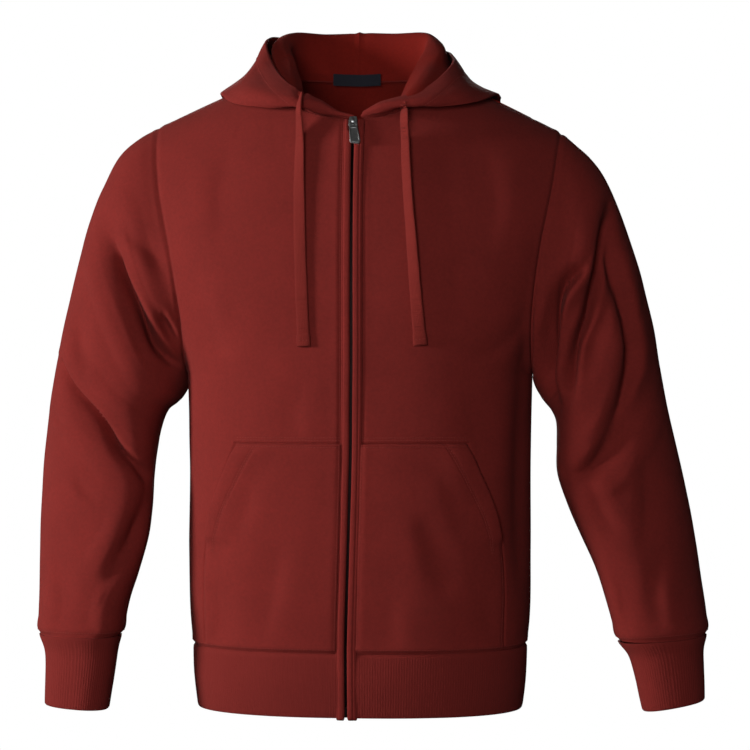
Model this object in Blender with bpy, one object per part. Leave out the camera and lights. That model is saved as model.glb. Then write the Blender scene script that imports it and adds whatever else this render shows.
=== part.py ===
"""Zip-up hoodie in its worn form and empty, one closed solid for each sewn piece.

Metres, +Z up, front towards -Y, +X towards the wearer's left side.
The origin lies in the neck opening, level with the shoulders that carry the garment.
"""
import math

import bpy
import numpy as np

# ---------------------------------------------------------------- driving dimensions
CLOTH = 0.0022          # fleece wall
HOOD_CLOTH = 0.0022     # hood wall, built half to each side of its middle surface
RIB_WALL = 0.0022       # plain wall under the ribs
RIB_HEIGHT = 0.0007     # how far a rib stands proud of the wall
RIB_PITCH = 0.0036      # from one rib to the next
SEAM = 0.0003           # gap between two pieces at a seam
LAP = 0.0003            # gap under a piece that lies on a panel

HEM_SEAM_Z = -0.6245
HEM_Z = -0.694
ARMPIT_Z = -0.325
SHOULDER_X = 0.2255
SHOULDER_TIP_Z = -0.0502
LEFT_DROP = 0.0075      # the wearer's left shoulder hangs lower
RIGHT_DROP = -0.0030    # and the right one a little higher
NECK_FRONT_Z = -0.047
NECK_SIDE_X = 0.088
NECK_BACK_Z = 0.0116
FRONT_EDGE = 0.0106     # from the zip's line to the front panel's edge
ARM_FRONT = 0.075       # armhole, from the shoulder seam forward
ARM_BACK = 0.080        # and back
ARMHOLE_LEAN = 0.13     # the armhole's plane leans this much per unit across
RIM_LEAN = 1.2          # how far the armhole's rims lean to each side of that plane
RIDGE = 0.22            # height of the ridge beside a drape fold, in fold depths
CLOSE_Z = -0.240        # above this the chest and back lean in towards the shoulder seam
FRONT_CLOSE = 2.0       # exponents of that lean
BACK_CLOSE = 2.4
SECTION = 2.4           # exponent of the level sections
SLEEVE_SECTION = 2.3    # exponent of the sleeves' and cuffs' sections

# ---------------------------------------------------------------- grid sizes
POCKET_COLUMNS = 6      # front panel columns between the zip and the pocket's side
NECK_COLUMNS = 4        # front panel columns that end at the neck seam
PANEL_COLUMNS = 10
BODY_ROWS = (-0.6243, -0.585, -0.545, -0.508, -0.472, -0.435, -0.400, -0.363, ARMPIT_Z)
ARM_STEPS = 12          # rows from the armpit to the shoulder tip
HOOD_STEPS = 3          # samples in each span of a hood profile
HOOD_COLUMNS = 14
CUFF_SPAN = 4           # outer columns to each inner one on a cuff
HEM_SPAN = 8            # and on the hem rib

# z, half width, front depth, back depth
BODY_TABLE = (
    (-0.694, 0.1812, 0.1140, 0.1080),
    (-0.660, 0.1840, 0.1170, 0.1110),
    (-0.6245, 0.1865, 0.1185, 0.1125),
    (-0.600, 0.1890, 0.1210, 0.1140),
    (-0.520, 0.1905, 0.1250, 0.1140),
    (-0.420, 0.1905, 0.1270, 0.1150),
    (-0.325, 0.1925, 0.1290, 0.1210),
    (-0.240, 0.1960, 0.1290, 0.1270),
    (-0.150, 0.2100, 0.1280, 0.1280),
    (0.050, 0.2260, 0.1280, 0.1280),
)
# z, distance of the armhole seam from the middle
ARMHOLE_TABLE = (
    (-0.325, 0.1925), (-0.262, 0.1940), (-0.187, 0.2035), (-0.120, 0.2165), (-0.050, 0.2255),
)
# z, x of the zip's line, which leans a little towards the wearer's right at the hem
ZIP_TABLE = ((-0.620, -0.0045), (-0.560, -0.0026), (-0.450, 0.0008), (0.0, 0.0016))
# z, x of the pocket's outer edge: vertical below, slanted along the hand opening
POCKET_TABLE = (
    (-0.6243, 0.1615), (-0.508, 0.1590), (-0.472, 0.1515), (-0.435, 0.1370), (-0.400, 0.1205),
)

# one row for each section of a sleeve: outer x and z, inner x and z, middle y, half depth, lean of the front
# outwards (how far the inner point stands before the middle, and the outer one behind it)
LEFT_SLEEVE = (
    (0.2390, -0.0685, 0.1945, -0.3345, 0.003, 0.077, 0.000),
    (0.2565, -0.0840, 0.1965, -0.3400, 0.003, 0.078, 0.001),
    (0.2720, -0.1055, 0.1985, -0.3440, 0.003, 0.078, 0.003),
    (0.2880, -0.1400, 0.2010, -0.3480, 0.002, 0.077, 0.006),
    (0.3022, -0.1800, 0.2035, -0.3520, 0.001, 0.075, 0.009),
    (0.3150, -0.2240, 0.2075, -0.3570, 0.000, 0.072, 0.012),
    (0.3262, -0.2690, 0.2140, -0.3650, -0.002, 0.069, 0.015),
    (0.3345, -0.3180, 0.2190, -0.3780, -0.004, 0.065, 0.018),
    (0.3440, -0.3700, 0.2195, -0.4020, -0.007, 0.061, 0.020),
    (0.3555, -0.4220, 0.2200, -0.4320, -0.011, 0.058, 0.020),
    (0.3650, -0.4680, 0.2305, -0.4640, -0.016, 0.056, 0.019),
    (0.3725, -0.5120, 0.2455, -0.4980, -0.022, 0.054, 0.018),
    (0.3785, -0.5540, 0.2620, -0.5350, -0.029, 0.052, 0.016),
    (0.3835, -0.5880, 0.2740, -0.5740, -0.036, 0.050, 0.014),
    (0.3845, -0.6080, 0.2850, -0.6140, -0.042, 0.048, 0.012),
)
RIGHT_SLEEVE = (
    (0.2480, -0.0590, 0.1940, -0.3345, 0.003, 0.077, 0.000),
    (0.2710, -0.0790, 0.1955, -0.3400, 0.003, 0.078, 0.001),
    (0.2885, -0.1110, 0.1975, -0.3440, 0.003, 0.078, 0.003),
    (0.3050, -0.1520, 0.1995, -0.3480, 0.002, 0.077, 0.006),
    (0.3180, -0.1950, 0.2020, -0.3520, 0.001, 0.075, 0.009),
    (0.3300, -0.2420, 0.2070, -0.3570, 0.000, 0.072, 0.012),
    (0.3405, -0.2880, 0.2160, -0.3650, -0.002, 0.069, 0.015),
    (0.3500, -0.3340, 0.2220, -0.3820, -0.004, 0.065, 0.018),
    (0.3560, -0.3820, 0.2260, -0.4080, -0.008, 0.061, 0.020),
    (0.3600, -0.4300, 0.2275, -0.4380, -0.013, 0.058, 0.020),
    (0.3610, -0.4760, 0.2290, -0.4700, -0.019, 0.056, 0.019),
    (0.3600, -0.5200, 0.2330, -0.5060, -0.026, 0.054, 0.018),
    (0.3590, -0.5600, 0.2420, -0.5420, -0.033, 0.052, 0.016),
    (0.3580, -0.5920, 0.2530, -0.5800, -0.040, 0.050, 0.014),
    (0.3565, -0.6130, 0.2590, -0.6130, -0.046, 0.048, 0.012),
)
# one row for each section of a cuff, in the same columns
LEFT_CUFF = (
    (0.3830, -0.6090, 0.2865, -0.6150, -0.042, 0.0460, 0.012),
    (0.3782, -0.6300, 0.3015, -0.6360, -0.046, 0.0380, 0.009),
    (0.3800, -0.6770, 0.3125, -0.6880, -0.056, 0.0350, 0.007),
)
RIGHT_CUFF = (
    (0.3552, -0.6135, 0.2603, -0.6135, -0.046, 0.0465, 0.012),
    (0.3458, -0.6380, 0.2660, -0.6370, -0.050, 0.0380, 0.009),
    (0.3445, -0.6890, 0.2725, -0.6930, -0.061, 0.0350, 0.007),
)

# one row for each hood profile: place along the neck (0 front, 1 side, 2 back), then x, y and z of
# the roll's crest and its outer side, the inner layer, the fold that hangs lowest, the outer bulge, the edge
LEFT_HOOD = (
    (0.00, (.0130, -.0925, -.0450), (.0132, -.0936, -.0446), (.0135, -.0945, -.0440),
     (.0140, -.0955, -.0425), (.0145, -.0955, -.0405), (.0150, -.0940, -.0385)),
    (0.30, (.0480, -.0895, -.0375), (.0488, -.0914, -.0376), (.0495, -.0930, -.0375),
     (.0505, -.0955, -.0360), (.0490, -.0950, -.0325), (.0440, -.0890, -.0290)),
    (0.60, (.0590, -.0460, -.0050), (.0700, -.0590, -.0075), (.0790, -.0700, -.0150),
     (.0940, -.0850, -.0350), (.0900, -.0880, -.0270), (.0790, -.0720, -.0150)),
    (0.90, (.0660, -.0100, 0.0190), (.0840, -.0190, 0.0160), (.0980, -.0290, 0.0040),
     (.1330, -.0600, -.0270), (.1200, -.0600, -.0140), (.1010, -.0330, 0.0120)),
    (1.20, (.0730, 0.0280, 0.0420), (.0885, 0.0235, 0.0395), (.1040, 0.0190, 0.0130),
     (.1550, 0.0020, -.0140), (.1260, 0.0040, 0.0010), (.1030, 0.0160, 0.0310)),
    (1.50, (.0690, 0.0620, 0.0620), (.0850, 0.0680, 0.0540), (.1020, 0.0720, 0.0110),
     (.1450, 0.0660, -.0340), (.1290, 0.0880, -.0060), (.0860, 0.0820, 0.0470)),
    (1.75, (.0350, 0.0800, 0.0660), (.0530, 0.0920, 0.0480), (.0690, 0.1010, -.0060),
     (.0880, 0.1240, -.1000), (.0900, 0.1440, -.0350), (.0480, 0.1180, 0.0440)),
    (2.00, (.0000, 0.0850, 0.0670), (.0000, 0.1010, 0.0490), (.0000, 0.1120, -.0200),
     (.0000, 0.1420, -.1300), (.0000, 0.1680, -.0500), (.0000, 0.1340, 0.0380)),
)
RIGHT_HOOD = (
    (0.00, (.0100, -.0925, -.0450), (.0102, -.0936, -.0446), (.0105, -.0945, -.0440),
     (.0110, -.0955, -.0425), (.0115, -.0955, -.0405), (.0120, -.0940, -.0385)),
    (0.30, (.0450, -.0895, -.0370), (.0458, -.0914, -.0368), (.0465, -.0930, -.0365),
     (.0475, -.0955, -.0350), (.0450, -.0950, -.0300), (.0400, -.0880, -.0250)),
    (0.60, (.0580, -.0450, -.0030), (.0695, -.0590, -.0060), (.0780, -.0700, -.0140),
     (.0940, -.0850, -.0340), (.0880, -.0880, -.0230), (.0720, -.0700, -.0060)),
    (0.90, (.0700, -.0100, 0.0210), (.0875, -.0195, 0.0185), (.0990, -.0290, 0.0050),
     (.1330, -.0600, -.0260), (.1200, -.0600, -.0080), (.0940, -.0280, 0.0210)),
    (1.20, (.0800, 0.0280, 0.0460), (.0960, 0.0235, 0.0450), (.1070, 0.0190, 0.0140),
     (.1570, 0.0020, -.0100), (.1270, 0.0040, 0.0130), (.1070, 0.0180, 0.0530)),
    (1.50, (.0690, 0.0620, 0.0620), (.0890, 0.0680, 0.0570), (.1050, 0.0720, 0.0140),
     (.1460, 0.0660, -.0320), (.1320, 0.0880, 0.0000), (.0940, 0.0820, 0.0640)),
    (1.75, (.0370, 0.0800, 0.0660), (.0560, 0.0925, 0.0490), (.0710, 0.1010, -.0040),
     (.0890, 0.1240, -.1000), (.0900, 0.1440, -.0350), (.0520, 0.1180, 0.0560)),
    (2.00, (.0000, 0.0850, 0.0670), (.0000, 0.1010, 0.0490), (.0000, 0.1120, -.0200),
     (.0000, 0.1420, -.1300), (.0000, 0.1680, -.0500), (.0000, 0.1340, 0.0380)),
)

# one row for each drape fold of a sleeve: its path in x and z, half width, depth, side (-1 front, 1 back)
LEFT_FOLDS = (
    (((.252, -.235), (.232, -.262), (.217, -.300), (.208, -.330)), 0.017, 0.0075, -1),
    (((.287, -.158), (.279, -.210), (.260, -.280), (.248, -.322)), 0.022, 0.0090, -1),
    (((.312, -.345), (.292, -.388), (.266, -.420), (.238, -.428)), 0.020, 0.0070, -1),
    (((.290, -.150), (.272, -.230), (.240, -.300), (.212, -.338)), 0.022, 0.0080, 1),
    (((.335, -.365), (.300, -.400), (.262, -.425), (.235, -.432)), 0.022, 0.0075, 1),
    (((.345, -.470), (.315, -.500), (.280, -.515), (.255, -.505)), 0.020, 0.0050, 1),
)
RIGHT_FOLDS = (
    (((.276, -.155), (.259, -.215), (.232, -.278), (.212, -.318)), 0.021, 0.0095, -1),
    (((.226, -.262), (.214, -.282), (.203, -.305)), 0.013, 0.0055, -1),
    (((.328, -.333), (.294, -.372), (.262, -.400), (.240, -.430)), 0.021, 0.0080, -1),
    (((.236, -.470), (.240, -.500), (.258, -.530), (.275, -.555)), 0.018, 0.0055, -1),
    (((.285, -.160), (.268, -.230), (.240, -.290), (.214, -.330)), 0.022, 0.0080, 1),
    (((.340, -.370), (.300, -.405), (.262, -.425), (.238, -.440)), 0.022, 0.0075, 1),
    (((.345, -.500), (.312, -.525), (.280, -.535), (.252, -.520)), 0.020, 0.0050, 1),
)

# zip, plackets and cords
PLACKET_IN = 0.0018      # from the zip's line to the placket's inner edge
PLACKET_OUT = 0.0103
PLACKET_PROUD = 0.0021
PLACKET_END_Z = -0.6965
PLACKET_TOP_Z = -0.0490
TAPE_IN = 0.0018
TAPE_OUT = 0.0100
TAPE_THICK = 0.0009
CHAIN_HALF = 0.0015
CHAIN_BACK = 0.0038
CHAIN_FRONT = 0.0012
CORD_WIDTH = 0.0135
CORD_THICK = 0.0028
# x and z of each drawcord, from the eyelet to its folded end
LEFT_CORD = ((.0560, -.0345), (.0575, -.0700), (.0610, -.1200), (.0668, -.1850), (.0722, -.2500),
              (.0765, -.2950))
RIGHT_CORD = ((-.0570, -.0240), (-.0555, -.0600), (-.0545, -.1200), (-.0525, -.1850), (-.0500, -.2500),
             (-.0480, -.2960))

CORD_SAMPLES = 26
CORD_CLEAR = 0.0005
CORD_TOP_Y = -0.0990     # the cords hang this far forward where they leave the hood
SPREAD_LOW_Z = -0.0680   # the zip's edges part between these heights to take the slider
SPREAD_TOP_Z = -0.0610
SPREAD_CLEAR = 0.0004    # from the slider to the parted edges

SLIDER_TOP_Z = -0.0475
SLIDER_LENGTH = 0.0120
SLIDER_WIDTH = 0.0100
PLATE_OUT = (0.0014, 0.0030)     # front plate, nearest and furthest from the front face
PLATE_BACK = (-0.0046, -0.0034)  # back plate
NECK_HALF = 0.0011               # half the width of the neck that joins them
HINGE_OUT = 0.0040               # the hinge's distance from the front face
ARCH_HALF = 0.0022               # half the length of the slider's arch, inside
ARCH_WIDE = 0.0012               # half its width
ARCH_BAR = 0.0012                # thickness of its bar and posts
ARCH_TOP = 0.0062

TAB_LENGTH = 0.0280
TAB_THICK = 0.0012
TAB_TILT = math.radians(24.0)
TAB_BAR = 0.0006                 # half the height of the tab's top bar, on the hinge
TAB_TOP_HALF = 0.0046            # half width at the top
TAB_LOW_HALF = 0.0058            # and near the bottom
TAB_CHAMFER = (0.0016, 0.0035)   # across and up, at the bottom corners
TAB_WINDOW = (0.0019, -0.0056, -0.0006)  # half width, bottom, top

LABEL_WIDTH = 0.054
LABEL_HEIGHT = 0.0135
LABEL_THICK = 0.0006
LABEL_CLEAR = 0.0006
LABEL_COLUMNS = 6

FLEECE = (0.196, 0.018, 0.014)
RIB = (0.180, 0.017, 0.013)
CORD = (0.205, 0.022, 0.018)
TAPE = (0.070, 0.006, 0.005)
METAL = (0.075, 0.072, 0.068)
NAVY = (0.010, 0.010, 0.022)


# ---------------------------------------------------------------- small helpers
def column(table, index):
    return np.array([row[index] for row in table])


def smooth_read(table, at, index=1):
    """Value of a table's column at a place between its rows, on a smooth curve."""
    places = column(table, 0)
    values = column(table, index)
    slopes = np.gradient(values, places)
    at = min(max(at, places.min()), places.max())
    k = int(min(max(np.searchsorted(places, at) - 1, 0), len(places) - 2))
    step = places[k + 1] - places[k]
    t = (at - places[k]) / step
    return ((1 + 2 * t) * (1 - t) ** 2 * values[k] + t * (1 - t) ** 2 * step * slopes[k]
            + t * t * (3 - 2 * t) * values[k + 1] + t * t * (t - 1) * step * slopes[k + 1])


def through(points, at):
    """Point at parameter 0..n-1 on a smooth curve through n points."""
    points = np.asarray(points, float)
    last = len(points) - 1
    k = int(min(max(math.floor(at), 0), last - 1))
    t = at - k
    before = points[k - 1] if k > 0 else 2 * points[0] - points[1]
    after = points[k + 2] if k + 2 <= last else 2 * points[last] - points[last - 1]
    here, there = points[k], points[k + 1]
    return 0.5 * (2 * here + (there - before) * t
                  + (2 * before - 5 * here + 4 * there - after) * t * t
                  + (3 * here - before - 3 * there + after) * t ** 3)


def unit(vectors):
    lengths = np.linalg.norm(vectors, axis=-1, keepdims=True)
    return vectors / np.maximum(lengths, 1e-12)


def grid_normals(grid, closed=False):
    """Unit normals of a grid of points; closed when its columns run round a tube."""
    down = np.gradient(grid, axis=0)
    if closed:
        across = (np.roll(grid, -1, axis=1) - np.roll(grid, 1, axis=1)) / 2
    else:
        across = np.gradient(grid, axis=1)
    return unit(np.cross(across, down))


def signed_volume(points, faces):
    total = 0.0
    for face in faces:
        for k in range(1, len(face) - 1):
            total += np.dot(points[face[0]], np.cross(points[face[k]], points[face[k + 1]]))
    return total / 6.0


def make_material(name, colour, roughness, metallic=0.0):
    material = bpy.data.materials.new(name)
    material.use_nodes = True
    shader = material.node_tree.nodes["Principled BSDF"]
    shader.inputs["Base Color"].default_value = (*colour, 1.0)
    shader.inputs["Roughness"].default_value = roughness
    shader.inputs["Metallic"].default_value = metallic
    return material


def add_solid(name, points, faces, material, smooth=True):
    """One named object from points and faces, turned to face outwards."""
    points = np.asarray(points, float)
    if signed_volume(points, faces) < 0:
        faces = [tuple(reversed(face)) for face in faces]
    mesh = bpy.data.meshes.new(name)
    mesh.from_pydata([tuple(point) for point in points], [], faces)
    mesh.materials.append(material)
    if smooth:
        mesh.shade_smooth()
        mesh.set_sharp_from_angle(angle=math.radians(50))
    solid = bpy.data.objects.new(name, mesh)
    bpy.context.collection.objects.link(solid)
    return solid


def shell(name, outer, inner, material, closed=False):
    """A wall between two grids of points of one size, with its rims."""
    rows, columns = outer.shape[:2]
    count = rows * columns
    points = np.concatenate([outer.reshape(-1, 3), inner.reshape(-1, 3)])
    last = columns if closed else columns - 1
    faces = []
    for j in range(rows - 1):
        for i in range(last):
            k = (i + 1) % columns
            a, b = j * columns + i, j * columns + k
            c, d = (j + 1) * columns + k, (j + 1) * columns + i
            faces += [(a, b, c), (a, c, d)]
            faces += [(count + a, count + c, count + b), (count + a, count + d, count + c)]
    for i in range(last):
        k = (i + 1) % columns
        low = (rows - 1) * columns
        faces.append((i, count + i, count + k, k))
        faces.append((low + i, low + k, count + low + k, count + low + i))
    if not closed:
        for j in range(rows - 1):
            a, d = j * columns, (j + 1) * columns
            b, c = a + columns - 1, d + columns - 1
            faces.append((a, d, count + d, count + a))
            faces.append((b, count + b, count + c, c))
    return add_solid(name, points, faces, material)


# ---------------------------------------------------------------- the body's surface
def zip_x(z):
    return smooth_read(ZIP_TABLE, z)


def armhole_x(z):
    return smooth_read(ARMHOLE_TABLE, z)


def side_x(z):
    return armhole_x(z) if z > ARMPIT_Z else smooth_read(BODY_TABLE, z)


def shoulder_z(x):
    """Height of the shoulder seam, which slopes more towards its tip."""
    drop = (LEFT_DROP if x > 0 else RIGHT_DROP) * abs(x) / SHOULDER_X
    return 0.040 - 0.31 * abs(x) - 0.40 * x * x - drop


def tip_z(x):
    """Height of the shoulder's tip, on the side where x lies."""
    return SHOULDER_TIP_Z - (LEFT_DROP if x > 0 else RIGHT_DROP)


def closing(x, z, power):
    """1 on the chest, falling to 0 where front and back meet at the shoulder seam."""
    rise = (z - CLOSE_Z) / (shoulder_z(x) - CLOSE_Z)
    rise = min(max(rise, 0.0), 1.0)
    return (1.0 - rise ** power) ** (1.0 / power)


def body_y(x, z, back):
    """Depth of the body's outer face at a place seen from the front or the back."""
    depth = smooth_read(BODY_TABLE, z, 3 if back else 2)
    edge = side_x(z)
    power = BACK_CLOSE if back else FRONT_CLOSE
    width = edge
    if z > ARMPIT_Z:
        middle = (ARMPIT_Z + tip_z(x)) / 2
        half = (tip_z(x) - ARMPIT_Z) / 2
        height = min(max((z - middle) / half, -1.0), 0.985)
        reach = (ARM_BACK if back else ARM_FRONT) * math.sqrt(1.0 - height * height)
        edge_z = middle + half * height
        room = depth * closing(math.copysign(armhole_x(edge_z), x), edge_z, power)
        share = min(reach / max(room, 1e-6), 0.93)
        width = edge / (1.0 - share ** SECTION) ** (1.0 / SECTION)
    across = max(1.0 - (abs(x) / width) ** SECTION, 0.0)
    y = depth * across ** (1.0 / SECTION) * closing(x, z, power)
    return y if back else -y


def column_fraction(i, z, top):
    """How far column i lies between the middle (0) and the side (1), at height z."""
    pocket = smooth_read(POCKET_TABLE, z) / side_x(min(z, ARMPIT_Z))
    if i <= POCKET_COLUMNS:
        low = pocket * i / POCKET_COLUMNS
    else:
        start = math.asin(pocket ** (SECTION / 2))
        turn = start + (math.pi / 2 - start) * (i - POCKET_COLUMNS) / (PANEL_COLUMNS - POCKET_COLUMNS)
        low = math.sin(turn) ** (2 / SECTION)
    neck = NECK_SIDE_X / SHOULDER_X
    if i <= NECK_COLUMNS:
        high = neck * math.sin(math.pi / 2 * i / NECK_COLUMNS)
    else:
        high = neck + (1 - neck) * (i - NECK_COLUMNS) / (PANEL_COLUMNS - NECK_COLUMNS)
    return low + (high - low) * top


def neck_point_z(i, back, side):
    """Height of the neck seam where column i ends."""
    middle_z = NECK_BACK_Z if back else NECK_FRONT_Z
    rise = shoulder_z(side * NECK_SIDE_X) - middle_z
    return middle_z + rise * (1 - math.cos(math.pi / 2 * i / NECK_COLUMNS))


def row_heights(side):
    """Heights of the rows at the side: the body's rows, then the armhole's."""
    middle = (ARMPIT_Z + tip_z(side)) / 2
    half = (tip_z(side) - ARMPIT_Z) / 2
    arm = [middle - half * math.cos(math.pi * k / ARM_STEPS) for k in range(1, ARM_STEPS + 1)]
    return list(BODY_ROWS) + arm


def body_grid(side, back):
    """Outer points of one half of the body, from the middle to the side, bottom to top.

    A left half has side 1. A right half has side -1 and is made as its own mirror image.
    A front starts at its edge beside the zip, a back at the middle.
    """
    grid = []
    for z_side in row_heights(side):
        above = max(z_side - ARMPIT_Z, 0.0) / (tip_z(side) - ARMPIT_Z)
        edge = 0.0 if back else FRONT_EDGE + side * zip_x(z_side)
        row = []
        for i in range(PANEL_COLUMNS + 1):
            x = column_fraction(i, z_side, above) * side_x(z_side)
            x += edge * (1.0 - x / side_x(z_side))
            if i <= NECK_COLUMNS:
                x_top = NECK_SIDE_X * math.sin(math.pi / 2 * i / NECK_COLUMNS)
                x_top += edge * (1.0 - x_top / NECK_SIDE_X)
                top = neck_point_z(i, back, side)
            else:
                x_top = column_fraction(i, 0.0, 1.0) * SHOULDER_X
                top = shoulder_z(side * x_top)
            z = z_side if above == 0 else ARMPIT_Z + (top - ARMPIT_Z) * above
            if above > 0.999:
                x = x_top
            y = body_y(side * x, z, back)
            if above > 0.999 and i >= NECK_COLUMNS:
                y = 0.0
            if i == PANEL_COLUMNS and above == 0:
                y = 0.0
            row.append((x, y, z))
        grid.append(row)
    return np.array(grid)


def body_normals(front, back):
    """Normals of both halves, equal along the side seam and the shoulder seam."""
    joined = np.concatenate([front, back[:, -2::-1]], axis=1)
    normals = grid_normals(joined)
    columns = front.shape[1]
    front_normals = normals[:, :columns].copy()
    back_normals = normals[:, columns - 1:][:, ::-1].copy()
    for normal in (front_normals, back_normals):
        flat = normal[:, 0].copy()
        flat[:, 0] = 0.0
        normal[:, 0] = unit(flat)
    seam = unit(front_normals[-1, NECK_COLUMNS:] + back_normals[-1, NECK_COLUMNS:])
    front_normals[-1, NECK_COLUMNS:] = seam
    back_normals[-1, NECK_COLUMNS:] = seam
    return front_normals, back_normals


def armhole_inward(grid):
    """Directions from the armhole seam into its loop, for the rows from the armpit up."""
    loop = grid[len(BODY_ROWS) - 1:, -1]
    along = unit(np.gradient(loop, axis=0))
    across = np.array((1.0, 0.0, -ARMHOLE_LEAN))
    inward = unit(np.cross(along, across))
    centre = loop.mean(axis=0)
    centre[1] = 0.0
    for k, direction in enumerate(inward):
        if np.dot(direction, centre - loop[k]) < 0:
            inward[k] = -direction
    inward[0] = (0.0, 0.0, 1.0)
    inward[-1] = unit(np.array((-ARMHOLE_LEAN, 0.0, -1.0)))
    return inward


def panel_walls(outer, normals):
    """Outer and inner points of a panel, trimmed back at its seams."""
    outer = outer.copy()
    inner = outer - normals * CLOTH
    first = len(BODY_ROWS) - 1
    inward = armhole_inward(outer)
    for k, direction in enumerate(inward):
        row = first + k
        weight = max(math.cos(math.pi * k / ARM_STEPS), 0.0) ** 2
        rim = unit(direction - RIM_LEAN * weight * normals[row, -1])
        inner[row, -1] = outer[row, -1] + rim * CLOTH
    return outer, inner


def trim(outer, inner, index, column_edge, gap=SEAM / 2):
    """Draw one edge row or column of a wall back from its seam by a gap."""
    mate = index + 1 if index == 0 else index - 1
    for_column = (slice(None), index) if column_edge else (index, slice(None))
    for_mate = (slice(None), mate) if column_edge else (mate, slice(None))
    shift = unit(outer[for_mate] - outer[for_column]) * gap
    outer[for_column] += shift
    inner[for_column] += shift


def mirrored(grid):
    return grid * np.array((-1.0, 1.0, 1.0))


# ---------------------------------------------------------------- body panels
def make_fronts(fleece):
    """Both front panels; returns each side's untrimmed outer points and normals."""
    grids = {}
    for side, name in ((1, "front_left"), (-1, "front_right")):
        front = body_grid(side, False)
        back = body_grid(side, True)
        normals, _ = body_normals(front, back)
        outer, inner = panel_walls(front, normals)
        trim(outer, inner, 0, False)
        trim(outer, inner, len(outer) - 1, False)
        trim(outer, inner, PANEL_COLUMNS, True)
        if side < 0:
            outer, inner = mirrored(outer), mirrored(inner)
        shell(name, outer, inner, fleece)
        grids[side] = (front, normals)
    return grids


def make_back(fleece):
    outers, inners = [], []
    for side in (-1, 1):
        back = body_grid(side, True)
        _, normals = body_normals(body_grid(side, False), back)
        outer, inner = panel_walls(back, normals)
        trim(outer, inner, 0, False)
        trim(outer, inner, len(outer) - 1, False)
        trim(outer, inner, PANEL_COLUMNS, True)
        if side < 0:
            outer, inner = mirrored(outer)[:, :0:-1], mirrored(inner)[:, :0:-1]
        outers.append(outer)
        inners.append(inner)
    shell("back", np.concatenate(outers, axis=1), np.concatenate(inners, axis=1), fleece)


def make_pockets(grids, fleece):
    """Each pocket is the front panel's own points, moved out and thickened."""
    rows = BODY_ROWS.index(-0.400) + 1
    for side, name in ((1, "pocket_left"), (-1, "pocket_right")):
        front, normals = grids[side]
        base = front[:rows, :POCKET_COLUMNS + 1]
        out = normals[:rows, :POCKET_COLUMNS + 1]
        inner = base + out * LAP
        outer = base + out * (LAP + CLOTH)
        trim(outer, inner, 0, False)
        trim(outer, inner, 0, True)
        if side < 0:
            outer, inner = mirrored(outer), mirrored(inner)
        shell(name, outer, inner, fleece)


# ---------------------------------------------------------------- sleeves and cuffs
def section_ring(row, turns):
    """Points of one sleeve section, from its inner point round the front to the outer one."""
    outer_x, outer_z, inner_x, inner_z, middle_y, depth, lean = row
    power = 2 / SLEEVE_SECTION
    inwards = np.sign(np.cos(turns)) * np.abs(np.cos(turns)) ** power
    forwards = np.sign(np.sin(turns)) * np.abs(np.sin(turns)) ** power
    across = 0.5 - 0.5 * inwards
    x = inner_x + (outer_x - inner_x) * across
    z = inner_z + (outer_z - inner_z) * across
    return np.stack([x, middle_y - depth * forwards - lean * inwards, z], axis=1)


def fold_depth(x, z, path, width):
    """How deep a place lies in a fold, 0 to 1, with a soft ridge beside it below 0."""
    path = np.asarray(path)
    best = 1e9
    along = 0.0
    for k in range(len(path) - 1):
        start, run = path[k], path[k + 1] - path[k]
        t = np.dot(np.array((x, z)) - start, run) / np.dot(run, run)
        t = min(max(t, 0.0), 1.0)
        away = math.hypot(*(start + run * t - (x, z)))
        if away < best:
            best = away
            along = (k + t) / (len(path) - 1)
    q = best / width
    ends = 0.35 + 0.65 * min(along / 0.25, (1 - along) / 0.25, 1.0)
    if q < 1:
        return ends * (1 - q * q) ** 2
    return -RIDGE * ends * math.sin(math.pi * (q - 1)) if q < 2 else 0.0


def folded(rings, folds):
    """Rings of a sleeve with its drape folds pressed in."""
    normals = grid_normals(rings, closed=True)
    centre = rings.mean(axis=1, keepdims=True)
    normals *= np.sign(np.sum(normals * (rings - centre), axis=2, keepdims=True))
    result = rings.copy()
    for j in range(1, len(rings) - 1):
        fade = min(j / 2.0, (len(rings) - 1 - j) / 2.0, 1.0)
        for i in range(rings.shape[1]):
            x, y, z = rings[j, i]
            for path, width, depth, side in folds:
                facing = min(max(normals[j, i, 1] * side * 1.6, 0.0), 1.0)
                if facing > 0:
                    push = depth * fade * facing * fold_depth(x, z, path, width)
                    result[j, i] -= normals[j, i] * push
    return result


def make_sleeve(side, table, folds, grid, name, fleece):
    front, _ = grid
    back = body_grid(side, True)
    first = len(BODY_ROWS) - 1
    front_edge = front[first:, -1]
    back_edge = back[first:, -1]
    loop = np.concatenate([front_edge, back_edge[-2:0:-1]])
    turns = 2 * math.pi * np.arange(len(loop)) / len(loop)
    rings = [loop] + [section_ring(row, turns) for row in table]
    rings = folded(np.array(rings), folds)
    normals = grid_normals(rings, closed=True)
    centre = rings.mean(axis=1, keepdims=True)
    if np.sum(normals * (rings - centre)) < 0:
        normals = -normals
    inner = rings - normals * CLOTH
    front_in = armhole_inward(front)
    back_in = armhole_inward(back)
    inward = np.concatenate([front_in, back_in[-2:0:-1]])
    lean = np.maximum(np.cos(turns), 0.0)[:, None] ** 2
    outward = np.array((1.0, 0.0, 0.0))
    inner[0] = rings[0] + unit(inward + RIM_LEAN * lean * outward) * CLOTH
    outer = rings.copy()
    trim(outer, inner, 0, False)
    if side < 0:
        outer, inner = mirrored(outer), mirrored(inner)
    shell(name, outer, inner, fleece, closed=True)


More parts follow.
